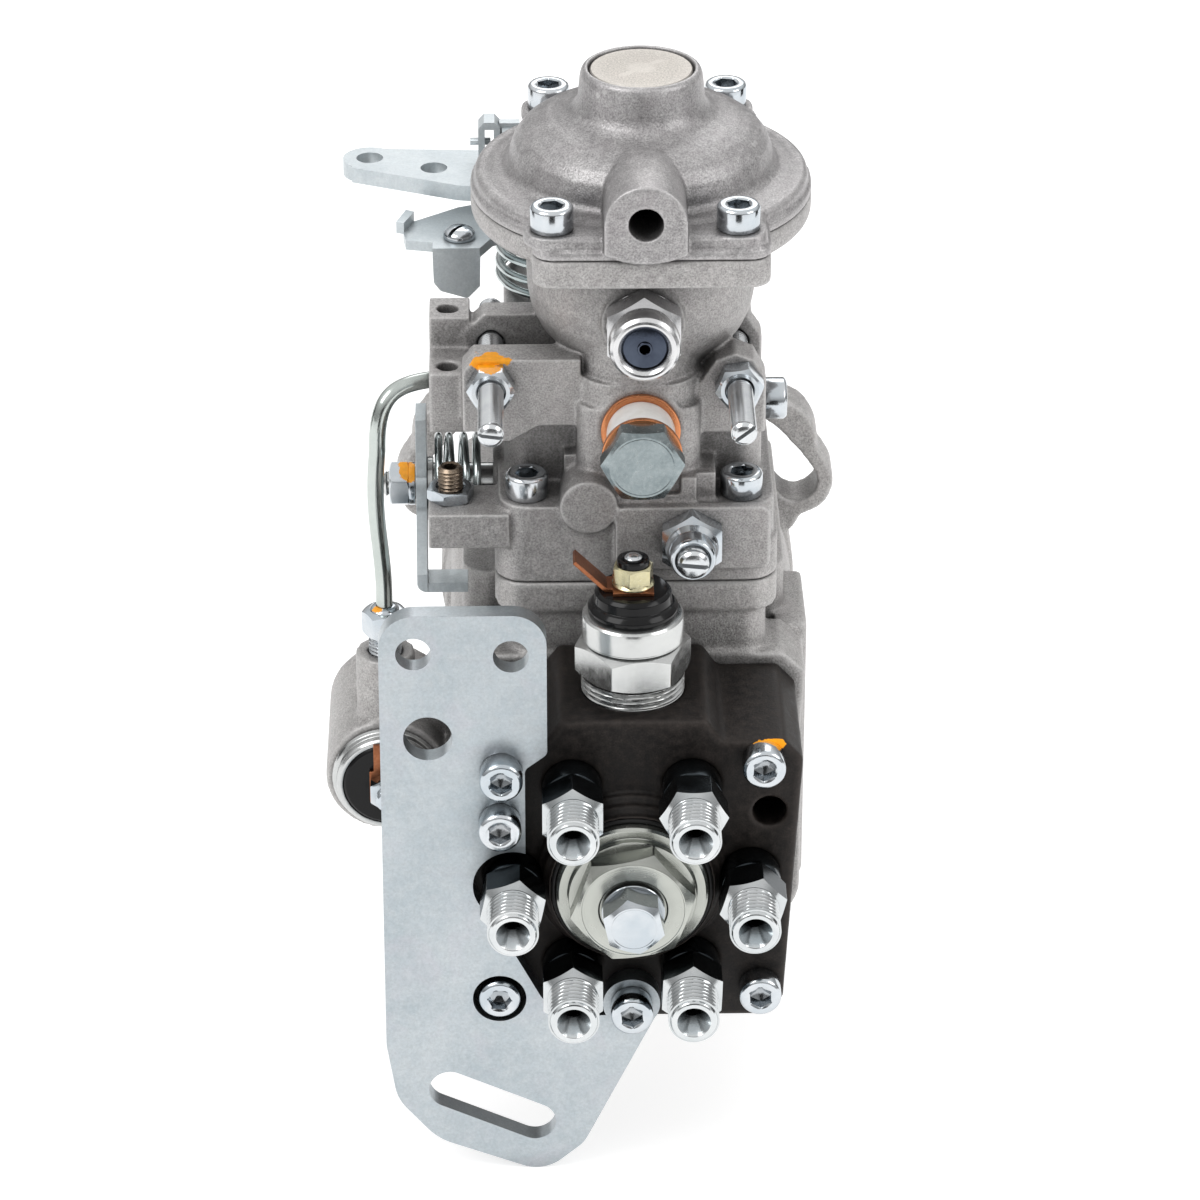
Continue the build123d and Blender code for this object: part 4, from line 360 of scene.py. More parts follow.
M["lever_zinc"] = plated("lever_zinc", (0.585, 0.63, 0.65), (0.49, 0.54, 0.565), (0.71, 0.745, 0.755), rough=0.34, metallic=0.55, mottle=70.0, blot=0.35, grain=0.14, ao=0.55, speck=0.07)
M["union_steel"] = bright("union_steel", (0.71, 0.725, 0.73), 0.14, (0.58, 0.61, 0.62))
M["zinc_dark"] = plated("zinc_dark", (0.30, 0.345, 0.355), (0.20, 0.24, 0.25), (0.50, 0.54, 0.54), rough=0.22, mottle=110.0, blot=0.35, grain=0.12)
M["satin_bright"] = plated("satin_bright", (0.70, 0.72, 0.73), (0.60, 0.62, 0.64), (0.82, 0.82, 0.82), rough=0.17, mottle=80.0, blot=0.15, grain=0.08)
M["bronze_steel"] = plated("bronze_steel", (0.30, 0.23, 0.17), (0.18, 0.14, 0.11), (0.48, 0.40, 0.30), rough=0.28, mottle=300.0, blot=0.3)
M["pipe_steel"] = plated("pipe_steel", (0.56, 0.60, 0.575), (0.47, 0.51, 0.485), (0.68, 0.71, 0.68), rough=0.17, mottle=60.0, blot=0.15, grain=0.06)

SLOT = {s["node"]: s["material_slot"] for s in frame["record"]["subparts"]}


def dress(o, m):
    o.data.materials.clear()
    o.data.materials.append(m)


# ---------------------------------------------------------------------------
# mesh builders: rings of points about a local Z axis
# ---------------------------------------------------------------------------
SECTOR = [0.0, 0.65, 1.4] + [5.0 * i for i in range(1, 12)] + [58.6, 59.35]
ANGLES = np.radians(np.array([60.0 * s + a for s in range(6) for a in SECTOR]))
COS, SIN = np.cos(ANGLES), np.sin(ANGLES)
SEG = len(ANGLES)


def frame_matrix(x, y, z, d):
    zd = Vector(d)
    xd = Vector((1, 0, 0)) if d in (ZP, ZM, YP, YM) else Vector((0, 1, 0))
    yd = zd.cross(xd)
    m = Matrix((xd, yd, zd)).transposed().to_4x4()
    m.translation = Vector((x, y, z))
    return m


def hexagon(af, rho=0.3, turn=0.0):
    """Radius of a rounded hexagon at each angle, corners at 0, 60, ... degrees plus turn."""
    a = af / 2
    rho = min(rho, a * 0.3)
    psi = (np.degrees(ANGLES) - turn + 30.0) % 60.0 - 30.0
    psi = np.radians(psi)
    d = (a - rho) / math.cos(math.pi / 6)
    flat = a / np.cos(math.pi / 6 - np.abs(psi))
    edge = math.atan2(rho * 0.5, d + rho * math.cos(math.pi / 6))
    arc = d * np.cos(psi) + np.sqrt(np.maximum(rho ** 2 - (d * np.sin(psi)) ** 2, 0))
    return np.where(np.abs(psi) < edge, arc, flat)


def soften(points, rad=0.25, steps=3, closed=True):
    """Rounds the corners of a (radius, height) outline."""
    pts = [p for i, p in enumerate(points) if i == 0 or math.dist(p[:2], points[i - 1][:2]) > 1e-6]
    if closed and math.dist(pts[0][:2], pts[-1][:2]) < 1e-6:
        pts.pop()
    out = []
    n = len(pts)
    for i, p in enumerate(pts):
        a, c = pts[i - 1], pts[(i + 1) % n]
        r = p[2] if len(p) > 2 else rad
        p, a, c = Vector(p[:2]), Vector(a[:2]), Vector(c[:2])
        if (not closed and i in (0, n - 1)) or p.x < 1e-6 or r <= 0:
            out.append(tuple(p))
            continue
        la, lc = (a - p).length, (c - p).length
        ua, uc = (a - p) / la, (c - p) / lc
        ang = ua.angle(uc)
        if ang > math.radians(172):
            out.append(tuple(p))
            continue
        t = min(r / math.tan(ang / 2), 0.42 * la, 0.42 * lc)
        s, e = p + ua * t, p + uc * t
        for k in range(steps + 1):
            w = k / steps
            q = s * (1 - w) ** 2 + p * 2 * w * (1 - w) + e * w * w
            out.append(tuple(q))
    return out


class Rings:
    """Collects rings of points (SEG each, or one point on the axis) and skins them."""

    def __init__(self):
        self.rings = []

    def ring(self, r, z):
        r = np.broadcast_to(np.asarray(r, float), (SEG,))
        z = np.broadcast_to(np.asarray(z, float), (SEG,))
        self.rings.append(np.stack([r * COS, r * SIN, z], 1))
        return self

    def centre(self, z):
        self.rings.append(np.array([[0.0, 0.0, z]]))
        return self

    def path(self, points):
        for r, z in points:
            if r < 1e-6:
                self.centre(z)
            else:
                self.ring(r, z)
        return self

    def thread(self, r, z0, z1, pitch, depth, fade=0.6, hand=1.0, per=9):
        n = max(4, int(per * (z1 - z0) / pitch))
        for i in range(n + 1):
            z = z0 + (z1 - z0) * i / n
            ph = (z / pitch - hand * ANGLES / (2 * math.pi)) % 1.0
            tri = np.abs(ph - 0.5) * 2.0
            cut = np.clip((tri - 0.12) / 0.72, 0.0, 1.0)
            k = min(1.0, (z - z0) / (fade * pitch) + 0.02, (z1 - z) / (fade * pitch) + 0.02)
            self.ring(r - depth * cut * k, z)
        return self

    def hexbar(self, af, z0, h, top_c=0.0, low_c=0.0, turn=0.0, rho=0.3):
        """Side of a hexagon with turned chamfers; ends on its top circle."""
        big = af / math.sqrt(3) + 0.05
        ro = hexagon(af, rho, turn)
        if low_c:
            rl = big - low_c * 1.7
            self.ring(np.minimum(ro, rl), z0)
            self.ring(ro, z0 + np.maximum(0.0, (ro - rl) / 1.7))
        else:
            self.ring(ro, z0)
        if top_c:
            rt = big - top_c * 1.7
            self.ring(ro, z0 + h - np.maximum(0.0, (ro - rt) / 1.7))
            self.ring(np.minimum(ro, rt), z0 + h)
        else:
            self.ring(ro, z0 + h)
        return self

    def mesh(self, close=True):
        """(vertices, faces); with close, the last ring joins the first."""
        verts, start = [], []
        for r in self.rings:
            start.append(sum(len(v) for v in verts))
            verts.append(r)
        faces = []
        count = len(self.rings)
        pairs = [(i, i + 1) for i in range(count - 1)] + ([(count - 1, 0)] if close else [])
        for i, j in pairs:
            a, b = self.rings[i], self.rings[j]
            for k in range(SEG):
                k2 = (k + 1) % SEG
                if len(a) == 1 and len(b) == 1:
                    break
                if len(a) == 1:
                    faces.append((start[i], start[j] + k2, start[j] + k))
                elif len(b) == 1:
                    faces.append((start[i] + k, start[i] + k2, start[j]))
                else:
                    faces.append((start[i] + k, start[i] + k2, start[j] + k2, start[j] + k))
        return np.concatenate(verts), faces


class Piece:
    """Gathers several shells into one object, in millimetres until it is made."""

    def __init__(self, name):
        self.name, self.v, self.f, self.n, self.mi = name, [], [], 0, []

    def add(self, shell, at=None, spin=0.0, mat=0):
        v, f = shell.mesh() if isinstance(shell, Rings) else shell
        v = np.asarray(v, float)
        index = [mat(v[list(q)].mean(0)) for q in f] if callable(mat) else [mat] * len(f)
        if spin:
            c, s = math.cos(math.radians(spin)), math.sin(math.radians(spin))
            v = v @ np.array([[c, s, 0], [-s, c, 0], [0, 0, 1]])
        if at is not None:
            m = np.array(frame_matrix(*at))
            v = v @ m[:3, :3].T + m[:3, 3]
        self.v.append(v)
        self.f += [tuple(i + self.n for i in q) for q in f]
        self.mi += index
        self.n += len(v)
        return self

    def make(self, mats, body=None, replaces=(), slot=None, sharp=28.0, bevel=0.0, seg=2):
        me = bpy.data.meshes.new(self.name)
        me.from_pydata((np.concatenate(self.v) * MM).tolist(), [], self.f)
        mats = mats if isinstance(mats, (list, tuple)) else [mats]
        for m in mats:
            me.materials.append(m)
        me.polygons.foreach_set("material_index", np.array(self.mi, dtype=np.int32))
        bm = bmesh.new()
        bm.from_mesh(me)
        bmesh.ops.remove_doubles(bm, verts=bm.verts, dist=1e-7)
        bmesh.ops.dissolve_degenerate(bm, edges=bm.edges, dist=1e-7)
        bmesh.ops.recalc_face_normals(bm, faces=bm.faces)
        bm.to_mesh(me)
        bm.free()
        me.polygons.foreach_set("use_smooth", np.ones(len(me.polygons), dtype=bool))
        me.set_sharp_from_angle(angle=math.radians(sharp))
        me.update()
        o = bpy.data.objects.new(self.name, me)
        bpy.context.scene.collection.objects.link(o)
        if bevel:
            b = o.modifiers.new("edge", "BEVEL")
            b.width = bevel * MM
            b.segments = seg
            b.limit_method = "ANGLE"
            b.angle_limit = math.radians(34)
            b.use_clamp_overlap = True
            b.harden_normals = False
        if replaces:
            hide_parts(*replaces)
        nodes = replaces or ()
        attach(o, body or BODY[nodes[0]])
        if slot or nodes:
            slot or SLOT[nodes[0]]
        return o


def turned(profile, rad=0.25, steps=3):
    """A closed turned outline with softened corners."""
    return Rings().path(soften(profile, rad, steps))


# ---------------------------------------------------------------------------
# carried-over CAD nodes: materials, rounded castings, broken edges
# ---------------------------------------------------------------------------
for name, o in N.items():
    dress(o, M[SLOT[name]])
dress(N["boost_cap_plug"], M["cast_disc"])
dress(N["timing_covers"], M["plain_aluminium"])
dress(N["boost_cover"], M["cast_dome"])
for name in ("throttle_lever", "throttle_stop_plate", "stop_lever"):
    dress(N[name], M["lever_zinc"])
dress(N["solenoid_terminals"], M["copper_dark"])


def soft_edges(name, width, segments=2, angle=32):
    """Welds a node's mesh, joins its flat faces and breaks its edges."""
    o = N[name]
    w = o.modifiers.new("weld", "WELD")
    w.merge_threshold = 0.000004
    d = o.modifiers.new("flat", "DECIMATE")
    d.decimate_type = "DISSOLVE"
    d.angle_limit = math.radians(0.6)
    b = o.modifiers.new("edge", "BEVEL")
    b.width = width * MM
    b.segments = segments
    b.limit_method = "ANGLE"
    b.angle_limit = math.radians(angle)
    b.use_clamp_overlap = True
    b.harden_normals = False
    n = o.modifiers.new("even", "WEIGHTED_NORMAL")
    n.mode = "FACE_AREA"
    n.weight = 50
    n.keep_sharp = False
    o.data.polygons.foreach_set("use_smooth", np.ones(len(o.data.polygons), dtype=bool))
    return o


def cast(name, voxel, rounds=5, factor=0.5):
    """Rounds a casting: its edges run out and its inner corners fill, as in a mould."""
    o = N[name]
    w = o.modifiers.new("weld", "WELD")
    w.merge_threshold = 0.000004
    r = o.modifiers.new("skin", "REMESH")
    r.mode = "VOXEL"
    r.voxel_size = voxel * MM * 1.0
    r.use_smooth_shade = True
    m = o.modifiers.new("round", "SMOOTH")
    m.factor = factor
    m.iterations = rounds
    return o


cast("governor_cover", 0.5, 6)
cast("boost_cover", 0.45, 4)
cast("pump_housing", 0.75, 4)
cast("distributor_head", 0.55, 4)
for name, width in (
    ("support_bracket", 0.35), ("throttle_lever", 0.35), ("throttle_stop_plate", 0.3), ("stop_lever", 0.3), ("timing_covers", 0.5),
    ("solenoid_terminals", 0.12), ("shaft_key", 0.25),
):
    soft_edges(name, width)


# ---------------------------------------------------------------------------
# socket screws, hexagons and threads
# ---------------------------------------------------------------------------
def socket_screw(length, r=3.0, head_r=5.0, head_h=6.0, key=5.0, deep=3.3, pitch=1.0, grip=3.0):
    """Socket-head cap screw, seat at local 0, head upward."""
    k = Rings().centre(-length).ring(r - 0.7, -length).ring(r - 0.1, -length + 0.6)
    k.thread(r, -length + 0.7, -min(grip, length * 0.5), pitch, 0.45, per=5)
    k.path([(r, -0.3), (r + 0.3, 0.0)])
    k.path([(head_r - 0.45, 0.0), (head_r - 0.12, 0.12), (head_r, 0.45), (head_r, head_h - 0.9), (head_r - 0.12, head_h - 0.55), (head_r - 0.62, head_h - 0.08), (head_r - 0.85, head_h)])
    k.ring(key / math.sqrt(3) + 0.32, head_h).ring(key / math.sqrt(3) + 0.12, head_h - 0.06)
    k.ring(hexagon(key, 0.05), head_h - 0.3).ring(hexagon(key, 0.05), head_h - deep)
    k.ring(key * 0.30, head_h - deep - 0.5).centre(head_h - deep - 0.9)
    return k


def spins():
    """Fixed, uneven turns for heads that were tightened by hand."""
    rng = random.Random(11)
    while True:
        yield rng.uniform(0, 60)


TURN = spins()
heads = Piece("head_screws")
for x, z in ((30.6, 31), (30.6, -31.2), (-31.3, -31.2)):
    heads.add(socket_screw(30), (x, -160, z, YM), next(TURN))
heads.add(socket_screw(30), (-30.4, -165, 31.1, YM), next(TURN))
for x, z in ((-30.8, 17.7), (0, -33.1)):
    heads.add(socket_screw(16), (x, -165, z, YM), next(TURN))
heads.make(M["bright_screws"], replaces=("head_cap_screws",))

tops = Piece("cover_screws")
for x in (-17.7, 24.9):
    for y in (-122, -50):
        tops.add(socket_screw(11.5), (x, y, 149.0, ZP), next(TURN))
for x, y in ((-23.8, -115), (26.8, -115), (-23.8, -26), (26.8, -26)):
    tops.add(socket_screw(30), (x, y, 77.5, ZP), next(TURN))
tops.make(M["bright_screws"], replaces=("cover_cap_screws",))
Piece("side_screw").add(socket_screw(9.5), (32.4, -92, 91, XP), 21).make(M["bright_screws"], replaces=("side_screws",))

# outlets: collar, hexagon, M12 thread and a conical seat
OUT = [(28 * math.cos(math.radians(a)), 28 * math.sin(math.radians(a))) for a in range(0, 360, 60)]
HEX_TURN = {60: 0, 0: 14, 120: 30, 180: 18, 240: 30, 300: 28}


def outlet():
    k = Rings().centre(-13.8).ring(6.4, -13.8).ring(6.5, -13.5).ring(6.5, -0.1).ring(7.0, 0.0).ring(7.05, 0.15)
    k.ring(7.05, 6.7).ring(6.95, 7.0).ring(6.4, 7.3).ring(6.4, 7.8)
    k.hexbar(14.0, 7.85, 8.6, 1.15, 0.5, turn=0.0, rho=0.25)
    k.ring(6.1, 16.5).ring(5.3, 16.6)
    k.thread(6.0, 16.6, 26.1, 1.5, 0.78, fade=0.4, per=13)
    k.path([(5.6, 26.15), (5.45, 26.5), (5.2, 26.85), (4.9, 27.0), (4.15, 27.02), (3.95, 26.95), (3.78, 26.7), (1.2, 22.2), (1.1, 22.0), (1.05, 21.7), (1.05, 6.0)])
    return k.centre(6.0)


def outlet_painted_dark_zones(p):
    """Material zones: neck and hexagon are painted near-black as a reflection of dark surroundings, the front stays
    bright, and the bore is painted black as shade.
    """
    r = math.hypot(p[0], p[1])
    if r < 1.12 and 5 < p[2] < 22.1:
        return 2
    if r < 3.7 and p[2] > 20:
        return 3
    return 1 if p[2] < 15.6 else 0


holders = Piece("outlet_unions")
for i, (x, z) in enumerate(OUT):
    holders.add(outlet(), (x, -160, z, YM), HEX_TURN[60 * i], outlet_painted_dark_zones)
holders.make([M["union_steel"], M["dark_plated"], M["bore_painted_shade"], M["seat_steel"]], replaces=("delivery_valve_holders",), sharp=24)

plug = Rings().path([(4.0, -11), (13.7, -11), (14.0, -10.7), (14.0, 0), (17.6, 0), (17.9, 0.3), (17.9, 3.0), (17.75, 3.5), (17.2, 3.95), (15.3, 4.0), (15.1, 4.15), (15.0, 4.4)])
plug.path([(15.0, 5.5), (14.9, 5.7)]).hexbar(25.8, 5.9, 5.6, 1.7, 0.0, rho=0.3).path([(12.3, 11.5), (12.1, 11.45), (11.95, 11.3), (8.2, 11.25), (8.0, 11.15), (7.8, 11.0), (4.2, 11.0), (4.0, 10.8)])
Piece("centre_plug").add(plug, (0, -165.1, 0, YM), 11).make(M["plug_steel"], replaces=("head_plug",), sharp=22)

bolt = Rings().centre(-13.5).ring(3.6, -13.5).ring(4.0, -13.1).path([(4.0, 0.4), (7.2, 0.45), (7.35, 0.6), (7.35, 0.9), (7.2, 1.05), (6.3, 1.1)])
bolt.hexbar(13.0, 1.15, 7.0, 1.1, 0.2, rho=0.25).path([(5.35, 8.15), (5.2, 8.05)]).centre(8.0)
Piece("bleed_screw").add(bolt, (0, -176.5, 0, YM), 42).make(M["bright_screws"], replaces=("bleed_bolt",))

# shut-off solenoid
sol = Rings().path([(4.55, -7.9), (11.6, -7.9), (12.0, -7.5), (12.0, -0.2)]).thread(12.15, -0.1, 4.3, 1.35, 0.75, fade=0.3, per=11)
sol.path([(11.3, 4.35), (11.3, 4.5)]).hexbar(24.0, 4.6, 8.8, 1.9, 1.1, rho=0.5)
sol.path([(11.85, 13.5), (11.85, 13.7), (11.95, 13.9), (11.95, 18.6), (11.8, 19.3), (11.4, 19.8), (10.8, 20.05), (9.8, 20.1), (9.6, 19.9), (4.55, 19.6)])
Piece("stop_solenoid").add(sol, (0.6, -142.5, 41, ZP), 8).make(M["satin_steel"], replaces=("shutoff_solenoid",), sharp=25)

ins = Piece("solenoid_insulation")
ins.add(turned([(3.2, 6.1), (3.2, 2.0), (0, 2.0), (0, 0), (10.4, 0, 0.2), (10.6, 1.6, 0.5), (9.7, 2.7, 0.6), (9.1, 3.0, 0.4), (9.0, 5.2, 0.5), (8.2, 6.1, 0.6)], 0.3, 4), (0.6, -142.5, 61.0, ZP))
ins.add(turned([(3.2, 1.5), (3.2, 1.0), (0, 1.0), (0, 0), (10.7, 0), (10.7, 1.0, 0.4), (10.0, 1.5, 0.4)], 0.3, 4), (-58.2, -115.0, -0.7, YM))
ins.make(M["black_insulator"], replaces=("solenoid_insulators",))

nuts = Piece("solenoid_contacts")
nuts.add(Rings().centre(0).ring(3.0, 0).path([(3.0, 5.1), (4.75, 5.1), (4.95, 5.25), (4.95, 5.55), (4.7, 5.85), (4.35, 6.15)]).hexbar(8.6, 6.2, 4.1, 0.6, 0.1, rho=0.2).path([(3.2, 10.3), (3.0, 10.1)]).centre(10.1), (0.6, -142.5, 63.0, ZP), 20, 0)
nuts.add(Rings().centre(0).path([(3.55, 0.0), (3.75, 0.2), (3.75, 1.3), (3.5, 1.7), (3.0, 1.8), (2.5, 1.45), (2.2, 1.1)]).centre(1.1), (0.6, -142.5, 73.2, ZP), 0, 1)
nuts.add(Rings().centre(0.5).path([(1.9, 0.9), (2.15, 1.4), (2.05, 1.95), (1.6, 2.4), (0.9, 2.62)]).centre(2.7), (0.6, -142.5, 73.1, ZP), 0, 2)
nuts.add(Rings().centre(0).ring(2.6, 0).path([(2.6, 1.0)]).hexbar(8.0, 1.4, 4.2, 0.6, 0.4, rho=0.2).path([(2.7, 5.7), (2.5, 5.8)]).thread(2.6, 5.8, 8.6, 0.8, 0.35, per=7).path([(2.2, 8.9)]).centre(9.0), (-58.2, -116.0, -0.7, YM), 30, 3)
nuts.make([M["yellow_zinc"], M["black_insulator"], M["satin_bright"], M["bright_screws"]], replaces=("solenoid_nuts",))

ksb = turned([(0, 19.0), (0, 0), (9.0, 0), (9.0, 15.8), (13.3, 15.8, 0.4), (13.6, 16.6, 0.4), (13.2, 17.6, 0.6), (12.4, 18.0, 0.3), (12.35, 19.6, 0.5), (11.7, 20.2, 0.4), (10.75, 20.1, 0.2), (10.75, 19.0)], 0.25, 4)
Piece("start_solenoid").add(ksb, (-58.2, -96.0, -0.7, YM)).make(M["satin_steel"], replaces=("cold_start_solenoid",))

# return bolt, rings, spacer, vent
rb = Rings().path([(2.5, -14), (6.7, -14), (7.0, -13.7), (7.0, 13.0), (7.0, 14.0), (8.1, 14.0)])
rb.hexbar(17.0, 14.05, 5.9, 1.25, 0.5, rho=0.35).path([(7.3, 19.95), (7.1, 19.85), (2.6, 19.82)]).centre(19.8)
rb.rings[0] = np.array([[0.0, 0.0, -14.0]])
Piece("return_screw").add(rb, (2.9, -118.4, 96, YM)).make(M["zinc_dark"], replaces=("return_bolt",), sharp=24)
cw = Piece("seal_washers")
for y in (-118.4, -131.0):
    cw.add(turned([(7.05, 0), (9.35, 0, 0.35), (9.35, 1.4, 0.35), (7.05, 1.4)], 0.2, 4), (2.9, y, 96, YM))
cw.make(M["copper"], replaces=("copper_washers",))
Piece("spacer_sleeve").add(turned([(7.05, 0), (7.9, 0), (8.05, 1.2), (8.05, 10.0), (7.9, 11.2), (7.05, 11.2)], 0.3), (2.9, -119.8, 96, YM)).make(M["nylon"], replaces=("nylon_spacer",))

vf = Rings().path([(4.0, 5.5), (4.0, -8), (6.0, -8), (6.0, 0), (8.4, 0.0), (8.6, 0.3), (8.6, 0.9)])
vf.hexbar(17.0, 0.95, 6.8, 1.4, 0.5, rho=0.4)
vf.path([(7.9, 7.9), (7.85, 8.4), (8.25, 9.2), (8.3, 12.3), (8.0, 13.4), (7.3, 14.25), (6.7, 14.4), (6.2, 14.3), (5.6, 13.7), (5.4, 13.3), (5.4, 5.5)])
Piece("vent_union_body").add(vf, (3.4, -118.5, 123, YM), 30).make(M["plain_aluminium"], replaces=("vent_fitting",), sharp=24)
vi = turned([(1.25, 5.6), (5.35, 5.6), (5.35, 12.6, 0.2), (4.9, 12.9, 0.2), (1.75, 13.0, 0.0), (1.7, 13.5, 0.15), (1.25, 13.5, 0.1)], 0.1)
Piece("vent_core").add(vi, (3.4, -118.5, 123, YM)).make(M["vent_dark"], replaces=("vent_insert",))


# ---------------------------------------------------------------------------
# adjusting screws and locknuts
# ---------------------------------------------------------------------------
def stud_screw(r, length, pitch, depth, top=0.9):
    k = Rings().centre(0).ring(r - 0.9, 0).ring(r - 0.1, 0.9)
    k.thread(r, 1.0, length - top, pitch, depth, per=7)
    return k.path([(r - 0.15, length - top + 0.05), (r - 0.75, length - 0.1), (r - 0.95, length)]).centre(length)


def cut_slot(o, at, size, angle=0.0, axis="Y"):
    """A screwdriver slot as a boolean cut with a thin box that is thrown away."""
    me = bpy.data.meshes.new("cutter")
    bm = bmesh.new()
    bmesh.ops.create_cube(bm, size=1.0)
    m = Matrix.Translation(Vector(at) * MM) @ Matrix.Rotation(math.radians(angle), 4, axis) @ Matrix.Diagonal((*[v * MM for v in size], 1.0))
    bm.transform(m)
    bm.to_mesh(me)
    bm.free()
    c = bpy.data.objects.new("cutter", me)
    scene_col = bpy.context.scene.collection
    scene_col.objects.link(c)
    d = o.modifiers.new("slot", "BOOLEAN")
    d.operation = "DIFFERENCE"
    d.solver = "EXACT"
    d.object = c
    bpy.context.view_layer.update()
    dg = bpy.context.evaluated_depsgraph_get()
    done = bpy.data.meshes.new_from_object(o.evaluated_get(dg))
    o.modifiers.clear()
    old = o.data
    o.data = done
    bpy.data.meshes.remove(old)
    bpy.data.objects.remove(c)
    bpy.data.meshes.remove(me)


sc = Piece("speed_screws")
sc.add(stud_screw(3.0, 70.2, 1.0, 0.22), (-32.0, -70.8, 105.5, YM), 0, 0)
sc.add(stud_screw(3.0, 79.6, 1.0, 0.22), (26.0, -61.4, 105.5, YM), 0, 0)
sc.add(stud_screw(3.7, 33.0, 1.0, 0.25), (14.8, -105, 70, YM), 0, 0)
k = Rings().centre(0).ring(2.3, 0).ring(2.9, 0.8).thread(3.0, 0.9, 18.1, 1.0, 0.42, per=9).path([(2.6, 18.5), (2.3, 18.8)])
k.ring(hexagon(3.0, 0.05), 18.6).ring(hexagon(3.0, 0.05), 15.0).centre(14.6)
sc.add(k, (-41.8, -112.2, 65.0, ZP), 14, 1)
o = sc.make([M["satin_bright"], M["bronze_steel"]], replaces=("adjusting_screws",))
for at, size, turn in (((-32.0, -141.0, 105.5), (8.0, 2.6, 0.9), 8), ((26.0, -141.0, 105.5), (8.0, 2.6, 0.9), -38), ((14.8, -138.0, 70.0), (9.0, 2.8, 1.1), 6)):
    cut_slot(o, at, size, turn)


def nut(af, h, bore, top_c=0.8, low_c=0.3, rho=0.25):
    k = Rings().ring(bore, 0.4).ring(bore + 0.5, 0.0).ring(af / 2 * 0.985, 0.0)
    k.hexbar(af, 0.02, h - 0.02, top_c, low_c, rho=rho)
    return k.ring(bore + 0.55, h).ring(bore, h - 0.45)


ln = Piece("lock_nuts")
ln.add(nut(10.0, 5.0, 3.0), (-32.0, -113.0, 105.5, YM), 0)
ln.add(nut(10.0, 5.0, 3.0), (26.0, -113.0, 105.5, YM), 8)
ln.add(nut(10.0, 3.0, 3.0, 0.6, 0.4), (-41.8, -112.2, 75.6, ZP), 14)
full = Rings().ring(3.7, 0.4).ring(4.2, 0.0).ring(6.9, 0.0).hexbar(14.0, 0.02, 5.0, 1.1, 0.3, rho=0.3)
full.path([(6.25, 5.05), (6.2, 5.2), (5.95, 5.8), (5.5, 6.4), (5.4, 6.9), (5.4, 10.2), (5.25, 10.8), (4.9, 11.2), (4.3, 11.2), (3.85, 10.9), (3.7, 10.5)])
ln.add(full, (14.8, -124.0, 70, YM), 30)
ln.make(M["bright_screws"], replaces=("adjusting_locknuts",))

lever_nut = Piece("stop_nut")
lever_nut.add(turned([(3.0, 0), (5.2, 0, 0.2), (5.2, 1.6, 0.3), (3.0, 1.6)], 0.15), (-50.5, -93, 69.5, XM))
lever_nut.add(nut(10.0, 4.6, 3.0, 0.7, 0.4), (-52.1, -93, 69.5, XM), 30)
lever_nut.make(M["bright_screws"], replaces=("stop_lever_nut",))
sh = Rings().centre(-10.6).ring(2.3, -10.6).ring(2.9, -10.0).thread(3.0, -9.9, -3.2, 1.0, 0.4, per=7).path([(3.0, -2.9), (4.0, -2.9), (4.0, 0), (6.3, 0), (6.5, 0.2), (6.5, 1.3), (6.3, 1.5), (5.0, 1.5), (5.0, 37.7), (4.7, 38.0)]).centre(38.0)
ss = Piece("stop_spindle").add(sh, (-47.6, -93, 69.5, XP))
ss.add(turned([(0, 0), (1.6, 0), (1.6, 4.0), (0, 4.0)], 0.2), (-9.8, -93, 71.7, XP))
ss.make(M["satin_steel"], replaces=("stop_lever_shaft",))

tf = Piece("lever_fasteners")
tf.add(Rings().centre(-3.5).path([(1.7, -3.5), (2.0, -3.2), (2.0, 0), (3.7, 0), (3.9, 0.2), (3.9, 1.1), (3.7, 1.6), (3.1, 2.2), (2.2, 2.6), (1.2, 2.75)]).centre(2.8), (-39.5, -54.0, 116.5, ZP))
tf.add(nut(10.0, 5.0, 3.0, 0.7, 0.4), (-12.0, -34.0, 127.0, ZP), 12)
tf.add(turned([(4.05, 0), (6.2, 0, 0.2), (6.2, 1.0, 0.3), (5.0, 1.6, 0.3), (3.1, 2.0), (3.1, 1.2), (4.05, 1.2)], 0.1), (-12.0, -34.0, 125.0, ZP))
o = tf.make(M["bright_screws"], replaces=("throttle_fasteners",))
cut_slot(o, (-39.5, -54.0, 119.2), (9.0, 1.0, 2.6), 50, "Z")


# ---------------------------------------------------------------------------
# springs and the pipe: tubes swept along a path
# ---------------------------------------------------------------------------
def tube(points, r, sides=16, caps=True):
    """(vertices, faces) of a round tube along points, in mm."""
    pts = np.asarray(points, float)
    tan = np.gradient(pts, axis=0)
    tan /= np.linalg.norm(tan, axis=1)[:, None]
    up = np.array([0.0, 0.0, 1.0]) if abs(tan[0][2]) < 0.9 else np.array([1.0, 0.0, 0.0])
    u = np.cross(tan[0], up)
    u /= np.linalg.norm(u)
    verts, faces = [], []
    r = np.broadcast_to(np.asarray(r, float), (len(pts),))
    ang = np.linspace(0, 2 * math.pi, sides, endpoint=False)
    for i, (p, t) in enumerate(zip(pts, tan)):
        u = u - t * np.dot(u, t)
        u /= np.linalg.norm(u)
        v = np.cross(t, u)
        verts += [p + r[i] * (math.cos(a) * u + math.sin(a) * v) for a in ang]
        if i:
            b0, b1 = (i - 1) * sides, i * sides
            faces += [(b0 + k, b0 + (k + 1) % sides, b1 + (k + 1) % sides, b1 + k) for k in range(sides)]
    n = len(verts)
    if caps:
        verts += [pts[0], pts[-1]]
        last = (len(pts) - 1) * sides
        faces += [(n, (k + 1) % sides, k) for k in range(sides)]
        faces += [(n + 1, last + k, last + (k + 1) % sides) for k in range(sides)]
    return np.array(verts), faces


